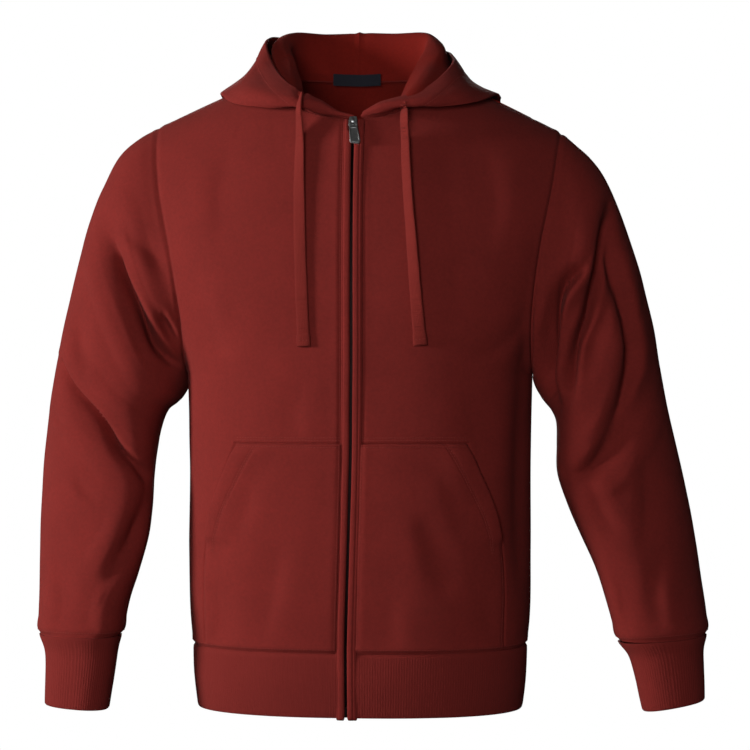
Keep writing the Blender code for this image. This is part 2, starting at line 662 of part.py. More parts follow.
def zip_faces(fine, coarse, closed):
    """Triangles between a fine edge and a coarse one; both are lists of point numbers."""
    faces = []
    spans = len(coarse) if closed else len(coarse) - 1
    step = len(fine) // spans if closed else (len(fine) - 1) // spans
    for m in range(spans):
        low = coarse[m]
        high = coarse[(m + 1) % len(coarse)]
        half = step // 2
        for k in range(step):
            a = fine[(m * step + k) % len(fine)]
            b = fine[(m * step + k + 1) % len(fine)]
            faces.append((a, b, low if k < half else high))
            if k == half - 1:
                faces.append((b, high, low))
    return faces


def ribbed_band(name, outer, inner, material, closed):
    """A wall with many outer columns, raised as ribs, over a plain inside of few."""
    rows, columns = outer.shape[:2]
    few = inner.shape[1]
    base = rows * columns
    points = np.concatenate([outer.reshape(-1, 3), inner.reshape(-1, 3)])
    faces = []
    for count, start, flip in ((columns, 0, False), (few, base, True)):
        for j in range(rows - 1):
            for i in range(count if closed else count - 1):
                k = (i + 1) % count
                a, b = start + j * count + i, start + j * count + k
                c, d = start + (j + 1) * count + k, start + (j + 1) * count + i
                quad = (a, d, c, b) if flip else (a, b, c, d)
                faces += [(quad[0], quad[1], quad[2]), (quad[0], quad[2], quad[3])]
    for j, flip in ((0, True), (rows - 1, False)):
        fine = [j * columns + i for i in range(columns)]
        coarse = [base + j * few + i for i in range(few)]
        for face in zip_faces(fine, coarse, closed):
            faces.append(tuple(reversed(face)) if flip else face)
    if not closed:
        for j in range(rows - 1):
            a, d = j * columns, (j + 1) * columns
            p, q = base + j * few, base + (j + 1) * few
            faces.append((a, d, q, p))
            b, c = a + columns - 1, d + columns - 1
            r, s = p + few - 1, q + few - 1
            faces.append((b, r, s, c))
    return add_solid(name, points, faces, material)


def make_cuff(side, table, name, rib):
    """A ribbed tube, its ribs running down, standing a little inside the sleeve's end."""
    width = table[1][0] - table[1][2]
    around = math.pi * (width + 2 * table[1][5]) / 2
    step = CUFF_SPAN
    few = round(around / RIB_PITCH * 2 / step)
    columns = few * step
    fine = 2 * math.pi * np.arange(columns) / columns
    plain = 2 * math.pi * np.arange(few) / few
    outer = np.array([section_ring(row, fine) for row in table])
    inner = np.array([section_ring(row, plain) for row in table])
    for rings, offset in ((outer, None), (inner, -RIB_WALL)):
        normals = grid_normals(rings, closed=True)
        centre = rings.mean(axis=1, keepdims=True)
        if np.sum(normals * (rings - centre)) < 0:
            normals = -normals
        level = normals * np.array((1.0, 1.0, 0.0))
        if offset is None:
            rings[:, 1::2] += unit(level)[:, 1::2] * RIB_HEIGHT
        else:
            rings += unit(level) * offset
    if side < 0:
        outer, inner = mirrored(outer), mirrored(inner)
    ribbed_band(name, outer, inner, rib, closed=True)


# ---------------------------------------------------------------- hem rib
def level_section(z, turns):
    """Points of the body's level section; turns run from the front middle round the left side."""
    width = smooth_read(BODY_TABLE, z, 1)
    front = smooth_read(BODY_TABLE, z, 2)
    back = smooth_read(BODY_TABLE, z, 3)
    sine, cosine = np.sin(turns), np.cos(turns)
    power = 2 / SECTION
    x = width * np.sign(sine) * np.abs(sine) ** power
    depth = np.where(cosine > 0, front, back)
    y = -depth * np.sign(cosine) * np.abs(cosine) ** power
    return np.stack([x, y, np.full_like(x, z)], axis=1)


def even_turns(z, start_x, end_x, count):
    """Turns at even distances round the section, from one front edge to the other."""
    dense = np.linspace(0.0, 2 * math.pi, 4001)
    points = level_section(z, dense)
    first = int(np.argmax(points[:, 0] >= start_x))
    last = len(dense) - 1 - int(np.argmax(points[::-1, 0] <= end_x))
    dense, points = dense[first:last + 1], points[first:last + 1]
    length = np.concatenate([[0.0], np.cumsum(np.linalg.norm(np.diff(points, axis=0), axis=1))])
    return np.interp(np.linspace(0.0, length[-1], count), length, dense), length[-1]


def make_hem_rib(rib):
    heights = (HEM_SEAM_Z - SEAM / 2, (HEM_SEAM_Z + HEM_Z) / 2, HEM_Z)
    start_x = zip_x(HEM_Z) + FRONT_EDGE
    end_x = zip_x(HEM_Z) - FRONT_EDGE
    _, around = even_turns(heights[1], start_x, end_x, 3)
    step = HEM_SPAN
    spans = round(around / RIB_PITCH * 2 / step)
    fine, _ = even_turns(heights[1], start_x, end_x, spans * step + 1)
    coarse = fine[::step]
    outer = np.array([level_section(z, fine) for z in heights])
    inner = np.array([level_section(z, coarse) for z in heights])
    for rings in (outer, inner):
        along = np.gradient(rings, axis=1)
        out = unit(np.cross(along, np.array((0.0, 0.0, 1.0))))
        if rings is outer:
            rings[:, 1::2] += out[:, 1::2] * RIB_HEIGHT
        else:
            rings -= out * RIB_WALL
    ribbed_band("hem_rib", outer, inner, rib, closed=False)


# ---------------------------------------------------------------- hood
def hood_grid(table, neck, neck_normals):
    """Middle surface of one hood half: profiles (columns) from the neck seam to the edge (rows)."""
    places = column(table, 0)
    spans = len(table[0]) - 1
    rows = spans * HOOD_STEPS + 1
    across = np.array((-1.0, 1.0, 1.0))
    grid = np.zeros((rows, HOOD_COLUMNS + 1, 3))
    neck_places = np.linspace(0.0, 2.0, len(neck))
    stations = np.linspace(0.0, len(places) - 1, HOOD_COLUMNS + 1)
    normals = np.zeros((HOOD_COLUMNS + 1, 3))
    for i, station in enumerate(stations):
        place = through(np.stack([places, places], axis=1), station)[0]
        place = min(max(place, 0.0), 2.0)
        seam = [np.interp(place, neck_places, neck[:, k]) for k in range(3)]
        normals[i] = [np.interp(place, neck_places, neck_normals[:, k]) for k in range(3)]
        controls = [np.array(seam)]
        for k in range(1, spans + 1):
            line = [np.array(row[k]) for row in table]
            line.append(line[-2] * across)
            controls.append(through(line, station))
        for j in range(rows):
            grid[j, i] = through(controls, j / HOOD_STEPS)
    return grid, unit(normals)


def make_hood(side, table, grid, name, fleece):
    front, front_normals = grid
    back = body_grid(side, True)
    _, back_normals = body_normals(front, back)
    neck = np.concatenate([front[-1, :NECK_COLUMNS + 1], back[-1, NECK_COLUMNS - 1::-1]])
    out = np.concatenate([front_normals[-1, :NECK_COLUMNS + 1], back_normals[-1, NECK_COLUMNS - 1::-1]])
    up = np.concatenate([front[-1, :NECK_COLUMNS + 1] - front[-2, :NECK_COLUMNS + 1],
                         back[-1, NECK_COLUMNS - 1::-1] - back[-2, NECK_COLUMNS - 1::-1]])
    neck = neck - out * CLOTH / 2 + unit(up) * SEAM * 1.3
    middle, seam_normals = hood_grid(table, neck, out)
    normals = grid_normals(middle)
    if np.dot(normals[1, HOOD_COLUMNS // 2], seam_normals[HOOD_COLUMNS // 2]) < 0:
        normals = -normals
    normals[0] = seam_normals
    flat = normals[:, -1].copy()
    flat[:, 0] = 0.0
    normals[:, -1] = unit(flat)
    outer = middle + normals * HOOD_CLOTH / 2
    inner = middle - normals * HOOD_CLOTH / 2
    outer[:, -1, 0] = SEAM / 2
    inner[:, -1, 0] = SEAM / 2
    if side < 0:
        outer, inner = mirrored(outer), mirrored(inner)
    shell(name, outer, inner, fleece)


# ---------------------------------------------------------------- zip and plackets
def front_frame(z):
    """Point on the zip's line at the body's outer face, with its outward direction."""
    step = 0.004
    here = np.array((zip_x(z), body_y(0.0, z, False), z))
    below = np.array((0.0, body_y(0.0, z - step, False), z - step))
    above = np.array((0.0, body_y(0.0, z + step, False), z + step))
    along = unit(above - below)
    return here, np.array((0.0, -along[2], along[1]))


def strip(name, heights, section, material):
    """A long strip down the front: section(z) gives its corners as (across, out) pairs."""
    rings = []
    for z in heights:
        here, out = front_frame(z)
        rings.append([here + (across, 0, 0) + out * away for across, away in section(z)])
    rings = np.array(rings)
    rows, columns = rings.shape[:2]
    points = rings.reshape(-1, 3)
    faces = []
    for j in range(rows - 1):
        for i in range(columns):
            k = (i + 1) % columns
            a, b = j * columns + i, j * columns + k
            faces.append((a, b, b + columns, a + columns))
    faces.append(tuple(range(columns - 1, -1, -1)))
    faces.append(tuple(range((rows - 1) * columns, rows * columns)))
    return add_solid(name, points, faces, material)


def spread(z):
    """How far the zip's edges stand apart to take the slider, 0 to 1."""
    t = min(max((z - SPREAD_LOW_Z) / (SPREAD_TOP_Z - SPREAD_LOW_Z), 0.0), 1.0)
    return t * t * (3 - 2 * t)


def front_heights(grid):
    """Row heights along the front edge, continued down the hem rib."""
    rows = [z for z in grid[0][:, 0, 2] if z < -0.080]
    rib = [PLACKET_END_Z, PLACKET_END_Z + 0.0015, HEM_Z + 0.004, -0.660]
    parting = [SPREAD_LOW_Z, (SPREAD_LOW_Z + SPREAD_TOP_Z) / 2, SPREAD_TOP_Z]
    return rib + rows + parting + [PLACKET_TOP_Z - 0.0012, PLACKET_TOP_Z]


def make_plackets(grids, fleece):
    for side, name in ((1, "placket_left"), (-1, "placket_right")):
        heights = front_heights(grids[side])

        def section(z):
            inner = PLACKET_IN + (SLIDER_WIDTH / 2 + SPREAD_CLEAR - PLACKET_IN) * spread(z)
            end = 0.55 if z in (heights[0], heights[-1]) else 1.0
            proud = PLACKET_PROUD * end
            round_in = 0.0012
            corners = ((inner, -CLOTH), (inner, proud * 0.3), (inner + round_in, proud * 0.85),
                       ((inner + PLACKET_OUT) / 2, proud), (PLACKET_OUT - round_in, proud * 0.85),
                       (PLACKET_OUT, proud * 0.2), (PLACKET_OUT, -CLOTH))
            return [(side * across, away) for across, away in corners]

        strip(name, heights, section, fleece)


def make_zip(grids, tape, metal):
    back = CLOTH + LAP
    for side, name in ((1, "zip_tape_left"), (-1, "zip_tape_right")):
        heights = front_heights(grids[side])[1:]

        def section(z):
            inner = TAPE_IN + (SLIDER_WIDTH / 2 + SPREAD_CLEAR - TAPE_IN) * spread(z)
            corners = ((inner, -back - TAPE_THICK), (inner, -back), (TAPE_OUT, -back),
                       (TAPE_OUT, -back - TAPE_THICK))
            return [(side * across, away) for across, away in corners]

        strip(name, heights, section, tape)
    heights = [z for z in front_heights(grids[1])[1:] if z <= SPREAD_TOP_Z]
    corners = ((-CHAIN_HALF, -CHAIN_BACK), (CHAIN_HALF, -CHAIN_BACK), (CHAIN_HALF, -CHAIN_FRONT),
               (-CHAIN_HALF, -CHAIN_FRONT))
    strip("zip_chain", heights, lambda z: corners, metal)


def box_points(x_half, out_low, out_high, up_low, up_high):
    return [(x, out, up) for x in (-x_half, x_half) for out in (out_low, out_high)
            for up in (up_low, up_high)]


BOX_FACES = [(0, 1, 3, 2), (4, 6, 7, 5), (0, 4, 5, 1), (2, 3, 7, 6), (0, 2, 6, 4), (1, 5, 7, 3)]


def slider_frame():
    """The slider's own frame: origin at its middle on the front face, with out and up."""
    middle_z = SLIDER_TOP_Z - SLIDER_LENGTH / 2
    here, out = front_frame(middle_z)
    up = np.array((0.0, -out[2], out[1])) * -1.0
    return here, out, up


def place(points, frame):
    here, out, up = frame
    return [here + (x, 0.0, 0.0) + out * away + up * rise for x, away, rise in points]


def join_solids(first, others):
    """Union the other boxes into the first solid."""
    for other in others:
        cut = first.modifiers.new(other.name, "BOOLEAN")
        cut.operation = "UNION"
        cut.object = other
        other.hide_render = True
        other.display_type = "WIRE"
    return first


def make_slider(metal):
    """Front and back plates on a neck, and the arch that holds the tab, joined into one solid."""
    frame = slider_frame()
    half = SLIDER_LENGTH / 2
    wide = SLIDER_WIDTH / 2
    bite = 0.0002       # how far one block reaches into the next
    post_end = ARCH_HALF + ARCH_BAR
    neck_low = PLATE_BACK[1] - bite
    neck_high = PLATE_OUT[0] + bite
    post_low = PLATE_OUT[1] - bite
    post_high = ARCH_TOP - bite
    arch_low = ARCH_TOP - ARCH_BAR
    blocks = (
        ("slider", box_points(wide, *PLATE_OUT, -half, half)),
        ("slider_neck", box_points(NECK_HALF, neck_low, neck_high, 0.0015, half - 2 * bite)),
        ("slider_back", box_points(wide - bite, *PLATE_BACK, bite - half, half - bite)),
        ("slider_post_up", box_points(ARCH_WIDE, post_low, post_high, ARCH_HALF, post_end - bite)),
        ("slider_post_low", box_points(ARCH_WIDE, post_low, post_high, bite - post_end, -ARCH_HALF)),
        ("slider_arch", box_points(ARCH_WIDE, arch_low, ARCH_TOP, -post_end, post_end)),
    )
    solids = [add_solid(name, place(points, frame), BOX_FACES, metal, smooth=False)
              for name, points in blocks]
    join_solids(solids[0], solids[1:])


def make_tab(metal):
    """The pull tab hangs by its top bar inside the slider's arch, and turns on it."""
    here, out, _ = slider_frame()
    window_wide, window_low, window_high = TAB_WINDOW
    cut_across, cut_up = TAB_CHAMFER
    top_cut = 0.0004
    right = [(TAB_TOP_HALF - top_cut, TAB_BAR), (TAB_TOP_HALF, TAB_BAR - top_cut),
             (TAB_LOW_HALF, cut_up - TAB_LENGTH), (TAB_LOW_HALF - cut_across, -TAB_LENGTH)]
    outline = right + [(-x, z) for x, z in reversed(right)]
    window = [(window_wide, window_high), (window_wide, window_low),
              (-window_wide, window_low), (-window_wide, window_high)]
    count = len(outline) + len(window)
    points = []
    for thick in (-TAB_THICK / 2, TAB_THICK / 2):
        points += [(x, thick, z) for x, z in outline + window]
    # the face round the window: outline corners 0-7, window corners 8-11
    ring = [(0, 1, 8), (1, 2, 9, 8), (2, 3, 9), (3, 4, 10, 9), (4, 5, 10), (5, 6, 11, 10),
            (6, 7, 11), (7, 0, 8, 11)]
    faces = list(ring)
    faces += [tuple(count + k for k in reversed(face)) for face in ring]
    for k in range(len(outline)):
        n = (k + 1) % len(outline)
        faces.append((k, count + k, count + n, n))
    for k in range(len(window)):
        a = len(outline) + k
        b = len(outline) + (k + 1) % len(window)
        faces.append((b, count + b, count + a, a))
    tab = add_solid("pull_tab", points, faces, metal, smooth=False)
    tab.location = tuple(here + out * HINGE_OUT)
    tab.rotation_euler = (-TAB_TILT, 0.0, 0.0)


# ---------------------------------------------------------------- cords and label
def panel_across(x, z):
    """Level direction along the front panel's face at a place."""
    step = 0.005
    rise = (body_y(x + step, z, False) - body_y(x - step, z, False)) / (2 * step)
    return unit(np.array((1.0, rise, 0.0)))


def cord_path(table, samples):
    """Points of a drawcord's middle line, lying just clear of the hood and the front panel."""
    points = []
    for k in range(samples + 1):
        x, z = through(table, k / samples * (len(table) - 1))
        y = body_y(x, z, False) - CORD_CLEAR - CORD_THICK / 2
        points.append((x, min(y, CORD_TOP_Y), z))
    return np.array(points)


def make_cord(name, table, material):
    path = cord_path(table, CORD_SAMPLES)
    along = unit(np.gradient(path, axis=0))
    side = np.array([panel_across(x, z) for x, _, z in path])
    out = unit(np.cross(along, side))
    half, thin = CORD_WIDTH / 2, CORD_THICK / 2
    corners = ((-half, 0.0), (-half * 0.8, thin), (half * 0.8, thin), (half, 0.0),
               (half * 0.8, -thin), (-half * 0.8, -thin))
    rings = np.array([[point + side[k] * a + out[k] * b for a, b in corners]
                      for k, point in enumerate(path)])
    rows, columns = rings.shape[:2]
    faces = []
    for j in range(rows - 1):
        for i in range(columns):
            k = (i + 1) % columns
            a, b = j * columns + i, j * columns + k
            faces.append((a, b, b + columns, a + columns))
    faces.append(tuple(range(columns - 1, -1, -1)))
    faces.append(tuple(range((rows - 1) * columns, rows * columns)))
    add_solid(name, rings.reshape(-1, 3), faces, material)


def make_label(navy):
    """A woven label over the back neck seam, on the inside."""
    xs = np.linspace(-LABEL_WIDTH / 2, LABEL_WIDTH / 2, LABEL_COLUMNS + 1)
    heights = (NECK_BACK_Z - LABEL_HEIGHT / 2, NECK_BACK_Z + LABEL_HEIGHT / 2)
    outer = np.array([[(x, body_y(abs(x), NECK_BACK_Z, True) - CLOTH - LABEL_CLEAR - LABEL_THICK, z)
                       for x in xs] for z in heights])
    inner = outer + np.array((0.0, LABEL_THICK, 0.0))
    shell("neck_label", outer, inner, navy)


def main():
    for old in list(bpy.data.objects):
        bpy.data.objects.remove(old, do_unlink=True)
    fleece = make_material("fleece", FLEECE, 0.9)
    rib = make_material("rib_knit", RIB, 0.9)
    cord = make_material("cord_knit", CORD, 0.85)
    tape = make_material("zip_tape", TAPE, 0.8)
    metal = make_material("zip_metal", METAL, 0.4, 1.0)
    navy = make_material("label_weave", NAVY, 0.7)
    grids = make_fronts(fleece)
    make_back(fleece)
    make_pockets(grids, fleece)
    make_sleeve(1, LEFT_SLEEVE, LEFT_FOLDS, grids[1], "sleeve_left", fleece)
    make_sleeve(-1, RIGHT_SLEEVE, RIGHT_FOLDS, grids[-1], "sleeve_right", fleece)
    make_cuff(1, LEFT_CUFF, "cuff_left", rib)
    make_cuff(-1, RIGHT_CUFF, "cuff_right", rib)
    make_hem_rib(rib)
    make_hood(1, LEFT_HOOD, grids[1], "hood_left", fleece)
    make_hood(-1, RIGHT_HOOD, grids[-1], "hood_right", fleece)
    make_plackets(grids, fleece)
    make_zip(grids, tape, metal)
    make_slider(metal)
    make_tab(metal)
    make_cord("drawcord_left", LEFT_CORD, cord)
    make_cord("drawcord_right", RIGHT_CORD, cord)
    make_label(navy)


main()
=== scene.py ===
"""Looks of the zip-up hoodie: fine cloth shells, ribs, zip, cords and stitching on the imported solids.

Metres, +Z up, front towards -Y, +X towards the wearer's left side. The surface functions and
tables repeat those of the solids, and every shell is built on them at a finer spacing.
"""
import itertools
import math

import bpy
import numpy as np
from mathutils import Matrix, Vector


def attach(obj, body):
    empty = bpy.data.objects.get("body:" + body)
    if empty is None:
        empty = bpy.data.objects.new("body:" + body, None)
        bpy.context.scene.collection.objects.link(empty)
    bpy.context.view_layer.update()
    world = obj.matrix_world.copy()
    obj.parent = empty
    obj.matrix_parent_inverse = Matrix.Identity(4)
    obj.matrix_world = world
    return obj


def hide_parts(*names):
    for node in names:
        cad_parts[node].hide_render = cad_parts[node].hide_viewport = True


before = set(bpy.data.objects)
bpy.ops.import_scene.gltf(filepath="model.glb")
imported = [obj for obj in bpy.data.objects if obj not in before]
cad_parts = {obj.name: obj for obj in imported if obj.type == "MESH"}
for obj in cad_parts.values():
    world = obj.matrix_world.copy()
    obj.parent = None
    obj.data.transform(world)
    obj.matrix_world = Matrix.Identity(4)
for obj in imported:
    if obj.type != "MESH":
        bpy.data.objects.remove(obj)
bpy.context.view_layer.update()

# ---------------------------------------------------------------- sizes shared with the solids
CLOTH = 0.0022           # thickness of the solids' cloth
SEAM = 0.0003            # gap at a seam
LAP = 0.0003             # gap under a pocket
HEM_SEAM_Z = -0.6245     # seam between body and hem rib
HEM_Z = -0.694
ARMPIT_Z = -0.325
SHOULDER_X = 0.2255      # from the middle to a shoulder's tip
SHOULDER_TIP_Z = -0.0502
LEFT_DROP = 0.0075       # how much lower the left shoulder hangs
RIGHT_DROP = -0.0030     # and the right one
NECK_FRONT_Z = -0.047
NECK_SIDE_X = 0.088      # half width of the neck
NECK_BACK_Z = 0.0116
FRONT_EDGE = 0.0106      # from the zip's line to a front's edge
ARM_FRONT = 0.075        # how far an armhole reaches forwards
ARM_BACK = 0.080         # and backwards
CLOSE_Z = -0.240         # above this height front and back close towards the shoulder
FRONT_CLOSE = 2.0        # power of that closing at the front
BACK_CLOSE = 2.4         # and at the back
SECTION = 2.4            # power of the body's rounded section
SLEEVE_SECTION = 2.3     # and of the sleeves'
RIDGE = 0.22             # share of a drape fold's depth that stands out beside it
POCKET_COLUMNS = 6       # columns of a panel up to the pocket's edge
NECK_COLUMNS = 4         # up to the neck's side
PANEL_COLUMNS = 10       # and in all

# z, half width, front depth, back depth
BODY_TABLE = (
    (-0.694, 0.1812, 0.1140, 0.1080),
    (-0.660, 0.1840, 0.1170, 0.1110),
    (-0.6245, 0.1865, 0.1185, 0.1125),
    (-0.600, 0.1890, 0.1210, 0.1140),
    (-0.520, 0.1905, 0.1250, 0.1140),
    (-0.420, 0.1905, 0.1270, 0.1150),
    (-0.325, 0.1925, 0.1290, 0.1210),
    (-0.240, 0.1960, 0.1290, 0.1270),
    (-0.150, 0.2100, 0.1280, 0.1280),
    (0.050, 0.2260, 0.1280, 0.1280),
)
# z, distance of the armhole seam from the middle
ARMHOLE_TABLE = (
    (-0.325, 0.1925), (-0.262, 0.1940), (-0.187, 0.2035), (-0.120, 0.2165), (-0.050, 0.2255),
)
# z, x of the zip's line, which leans a little towards the wearer's right at the hem
ZIP_TABLE = ((-0.620, -0.0045), (-0.560, -0.0026), (-0.450, 0.0008), (0.0, 0.0016))
# z, x of the pocket's outer edge: vertical below, slanted along the hand opening
POCKET_TABLE = (
    (-0.6243, 0.1615), (-0.508, 0.1590), (-0.472, 0.1515), (-0.435, 0.1370), (-0.400, 0.1205),
)

# one row for each section of a sleeve: outer x and z, inner x and z, middle y, half depth, lean of the
# front outwards (how far the inner point stands before the middle, and the outer one behind it)
LEFT_SLEEVE = (
    (0.2390, -0.0685, 0.1945, -0.3345, 0.003, 0.077, 0.000),
    (0.2565, -0.0840, 0.1965, -0.3400, 0.003, 0.078, 0.001),
    (0.2720, -0.1055, 0.1985, -0.3440, 0.003, 0.078, 0.003),
    (0.2880, -0.1400, 0.2010, -0.3480, 0.002, 0.077, 0.006),
    (0.3022, -0.1800, 0.2035, -0.3520, 0.001, 0.075, 0.009),
    (0.3150, -0.2240, 0.2075, -0.3570, 0.000, 0.072, 0.012),
    (0.3262, -0.2690, 0.2140, -0.3650, -0.002, 0.069, 0.015),
    (0.3345, -0.3180, 0.2190, -0.3780, -0.004, 0.065, 0.018),
    (0.3440, -0.3700, 0.2195, -0.4020, -0.007, 0.061, 0.020),
    (0.3555, -0.4220, 0.2200, -0.4320, -0.011, 0.058, 0.020),
    (0.3650, -0.4680, 0.2305, -0.4640, -0.016, 0.056, 0.019),
    (0.3725, -0.5120, 0.2455, -0.4980, -0.022, 0.054, 0.018),
    (0.3785, -0.5540, 0.2620, -0.5350, -0.029, 0.052, 0.016),
    (0.3835, -0.5880, 0.2740, -0.5740, -0.036, 0.050, 0.014),
    (0.3845, -0.6080, 0.2850, -0.6140, -0.042, 0.048, 0.012),
)
RIGHT_SLEEVE = (
    (0.2480, -0.0590, 0.1940, -0.3345, 0.003, 0.077, 0.000),
    (0.2710, -0.0790, 0.1955, -0.3400, 0.003, 0.078, 0.001),
    (0.2885, -0.1110, 0.1975, -0.3440, 0.003, 0.078, 0.003),
    (0.3050, -0.1520, 0.1995, -0.3480, 0.002, 0.077, 0.006),
    (0.3180, -0.1950, 0.2020, -0.3520, 0.001, 0.075, 0.009),
    (0.3300, -0.2420, 0.2070, -0.3570, 0.000, 0.072, 0.012),
    (0.3405, -0.2880, 0.2160, -0.3650, -0.002, 0.069, 0.015),
    (0.3500, -0.3340, 0.2220, -0.3820, -0.004, 0.065, 0.018),
    (0.3560, -0.3820, 0.2260, -0.4080, -0.008, 0.061, 0.020),
    (0.3600, -0.4300, 0.2275, -0.4380, -0.013, 0.058, 0.020),
    (0.3610, -0.4760, 0.2290, -0.4700, -0.019, 0.056, 0.019),
    (0.3600, -0.5200, 0.2330, -0.5060, -0.026, 0.054, 0.018),
    (0.3590, -0.5600, 0.2420, -0.5420, -0.033, 0.052, 0.016),
    (0.3580, -0.5920, 0.2530, -0.5800, -0.040, 0.050, 0.014),
    (0.3565, -0.6130, 0.2590, -0.6130, -0.046, 0.048, 0.012),
)
# one row for each section of a cuff, in the same columns
LEFT_CUFF = (
    (0.3830, -0.6090, 0.2865, -0.6150, -0.042, 0.0460, 0.012),
    (0.3782, -0.6300, 0.3015, -0.6360, -0.046, 0.0380, 0.009),
    (0.3800, -0.6770, 0.3125, -0.6880, -0.056, 0.0350, 0.007),
)
RIGHT_CUFF = (
    (0.3552, -0.6135, 0.2603, -0.6135, -0.046, 0.0465, 0.012),
    (0.3458, -0.6380, 0.2660, -0.6370, -0.050, 0.0380, 0.009),
    (0.3445, -0.6890, 0.2725, -0.6930, -0.061, 0.0350, 0.007),
)

# one row for each hood profile: place along the neck (0 front, 1 side, 2 back), then x, y and z of the
# roll's crest and its outer side, the inner layer, the fold that hangs lowest, the outer bulge, the edge
LEFT_HOOD = (
    (0.00, (.0130, -.0925, -.0450), (.0132, -.0936, -.0446), (.0135, -.0945, -.0440),
     (.0140, -.0955, -.0425), (.0145, -.0955, -.0405), (.0150, -.0940, -.0385)),
    (0.30, (.0480, -.0895, -.0375), (.0488, -.0914, -.0376), (.0495, -.0930, -.0375),
     (.0505, -.0955, -.0360), (.0490, -.0950, -.0325), (.0440, -.0890, -.0290)),
    (0.60, (.0590, -.0460, -.0050), (.0700, -.0590, -.0075), (.0790, -.0700, -.0150),
     (.0940, -.0850, -.0350), (.0900, -.0880, -.0270), (.0790, -.0720, -.0150)),
    (0.90, (.0660, -.0100, 0.0190), (.0840, -.0190, 0.0160), (.0980, -.0290, 0.0040),
     (.1330, -.0600, -.0270), (.1200, -.0600, -.0140), (.1010, -.0330, 0.0120)),
    (1.20, (.0730, 0.0280, 0.0420), (.0910, 0.0235, 0.0420), (.1040, 0.0190, 0.0130),
     (.1550, 0.0020, -.0140), (.1260, 0.0040, 0.0010), (.1030, 0.0160, 0.0310)),
    (1.50, (.0690, 0.0620, 0.0620), (.0850, 0.0680, 0.0540), (.1020, 0.0720, 0.0110),
     (.1450, 0.0660, -.0340), (.1290, 0.0880, -.0060), (.0860, 0.0820, 0.0470)),
    (1.75, (.0350, 0.0800, 0.0660), (.0530, 0.0920, 0.0480), (.0690, 0.1010, -.0060),
     (.0880, 0.1240, -.1000), (.0900, 0.1440, -.0350), (.0480, 0.1180, 0.0440)),
    (2.00, (.0000, 0.0850, 0.0670), (.0000, 0.1010, 0.0490), (.0000, 0.1120, -.0200),
     (.0000, 0.1420, -.1300), (.0000, 0.1680, -.0500), (.0000, 0.1340, 0.0380)),
)
RIGHT_HOOD = (
    (0.00, (.0100, -.0925, -.0450), (.0102, -.0936, -.0446), (.0105, -.0945, -.0440),
     (.0110, -.0955, -.0425), (.0115, -.0955, -.0405), (.0120, -.0940, -.0385)),
    (0.30, (.0450, -.0895, -.0370), (.0458, -.0914, -.0368), (.0465, -.0930, -.0365),
     (.0475, -.0955, -.0350), (.0450, -.0950, -.0300), (.0400, -.0880, -.0250)),
    (0.60, (.0580, -.0450, -.0030), (.0695, -.0590, -.0060), (.0780, -.0700, -.0140),
     (.0940, -.0850, -.0340), (.0880, -.0880, -.0230), (.0720, -.0700, -.0060)),
    (0.90, (.0700, -.0100, 0.0210), (.0885, -.0200, 0.0200), (.0990, -.0290, 0.0050),
     (.1330, -.0600, -.0260), (.1200, -.0600, -.0080), (.0940, -.0280, 0.0210)),
    (1.20, (.0800, 0.0280, 0.0460), (.0995, 0.0230, 0.0485), (.1070, 0.0190, 0.0140),
     (.1570, 0.0020, -.0100), (.1270, 0.0040, 0.0130), (.1070, 0.0180, 0.0530)),
    (1.50, (.0690, 0.0620, 0.0620), (.0910, 0.0690, 0.0612), (.1050, 0.0720, 0.0140),
     (.1460, 0.0660, -.0320), (.1320, 0.0880, 0.0000), (.0940, 0.0820, 0.0640)),
    (1.75, (.0370, 0.0800, 0.0660), (.0560, 0.0925, 0.0490), (.0710, 0.1010, -.0040),
     (.0890, 0.1240, -.1000), (.0900, 0.1440, -.0350), (.0520, 0.1180, 0.0560)),
    (2.00, (.0000, 0.0850, 0.0670), (.0000, 0.1010, 0.0490), (.0000, 0.1120, -.0200),
     (.0000, 0.1420, -.1300), (.0000, 0.1680, -.0500), (.0000, 0.1340, 0.0380)),
)

# one row for each drape fold of a sleeve: its path in x and z, half width, depth, side (-1 front, 1 back)
LEFT_FOLDS = (
    (((.252, -.235), (.232, -.262), (.217, -.300), (.208, -.330)), 0.017, 0.0075, -1),
    (((.287, -.158), (.279, -.210), (.260, -.280), (.248, -.322)), 0.022, 0.0090, -1),
    (((.312, -.345), (.292, -.388), (.266, -.420), (.238, -.428)), 0.020, 0.0070, -1),
    (((.290, -.150), (.272, -.230), (.240, -.300), (.212, -.338)), 0.022, 0.0080, 1),
    (((.335, -.365), (.300, -.400), (.262, -.425), (.235, -.432)), 0.022, 0.0075, 1),
    (((.345, -.470), (.315, -.500), (.280, -.515), (.255, -.505)), 0.020, 0.0050, 1),
)
RIGHT_FOLDS = (
    (((.276, -.155), (.259, -.215), (.232, -.278), (.212, -.318)), 0.021, 0.0095, -1),
    (((.226, -.262), (.214, -.282), (.203, -.305)), 0.013, 0.0055, -1),
    (((.328, -.333), (.294, -.372), (.262, -.400), (.240, -.430)), 0.021, 0.0080, -1),
    (((.236, -.470), (.240, -.500), (.258, -.530), (.275, -.555)), 0.018, 0.0055, -1),
    (((.285, -.160), (.268, -.230), (.240, -.290), (.214, -.330)), 0.022, 0.0080, 1),
    (((.340, -.370), (.300, -.405), (.262, -.425), (.238, -.440)), 0.022, 0.0075, 1),
    (((.345, -.500), (.312, -.525), (.280, -.535), (.252, -.520)), 0.020, 0.0050, 1),
)

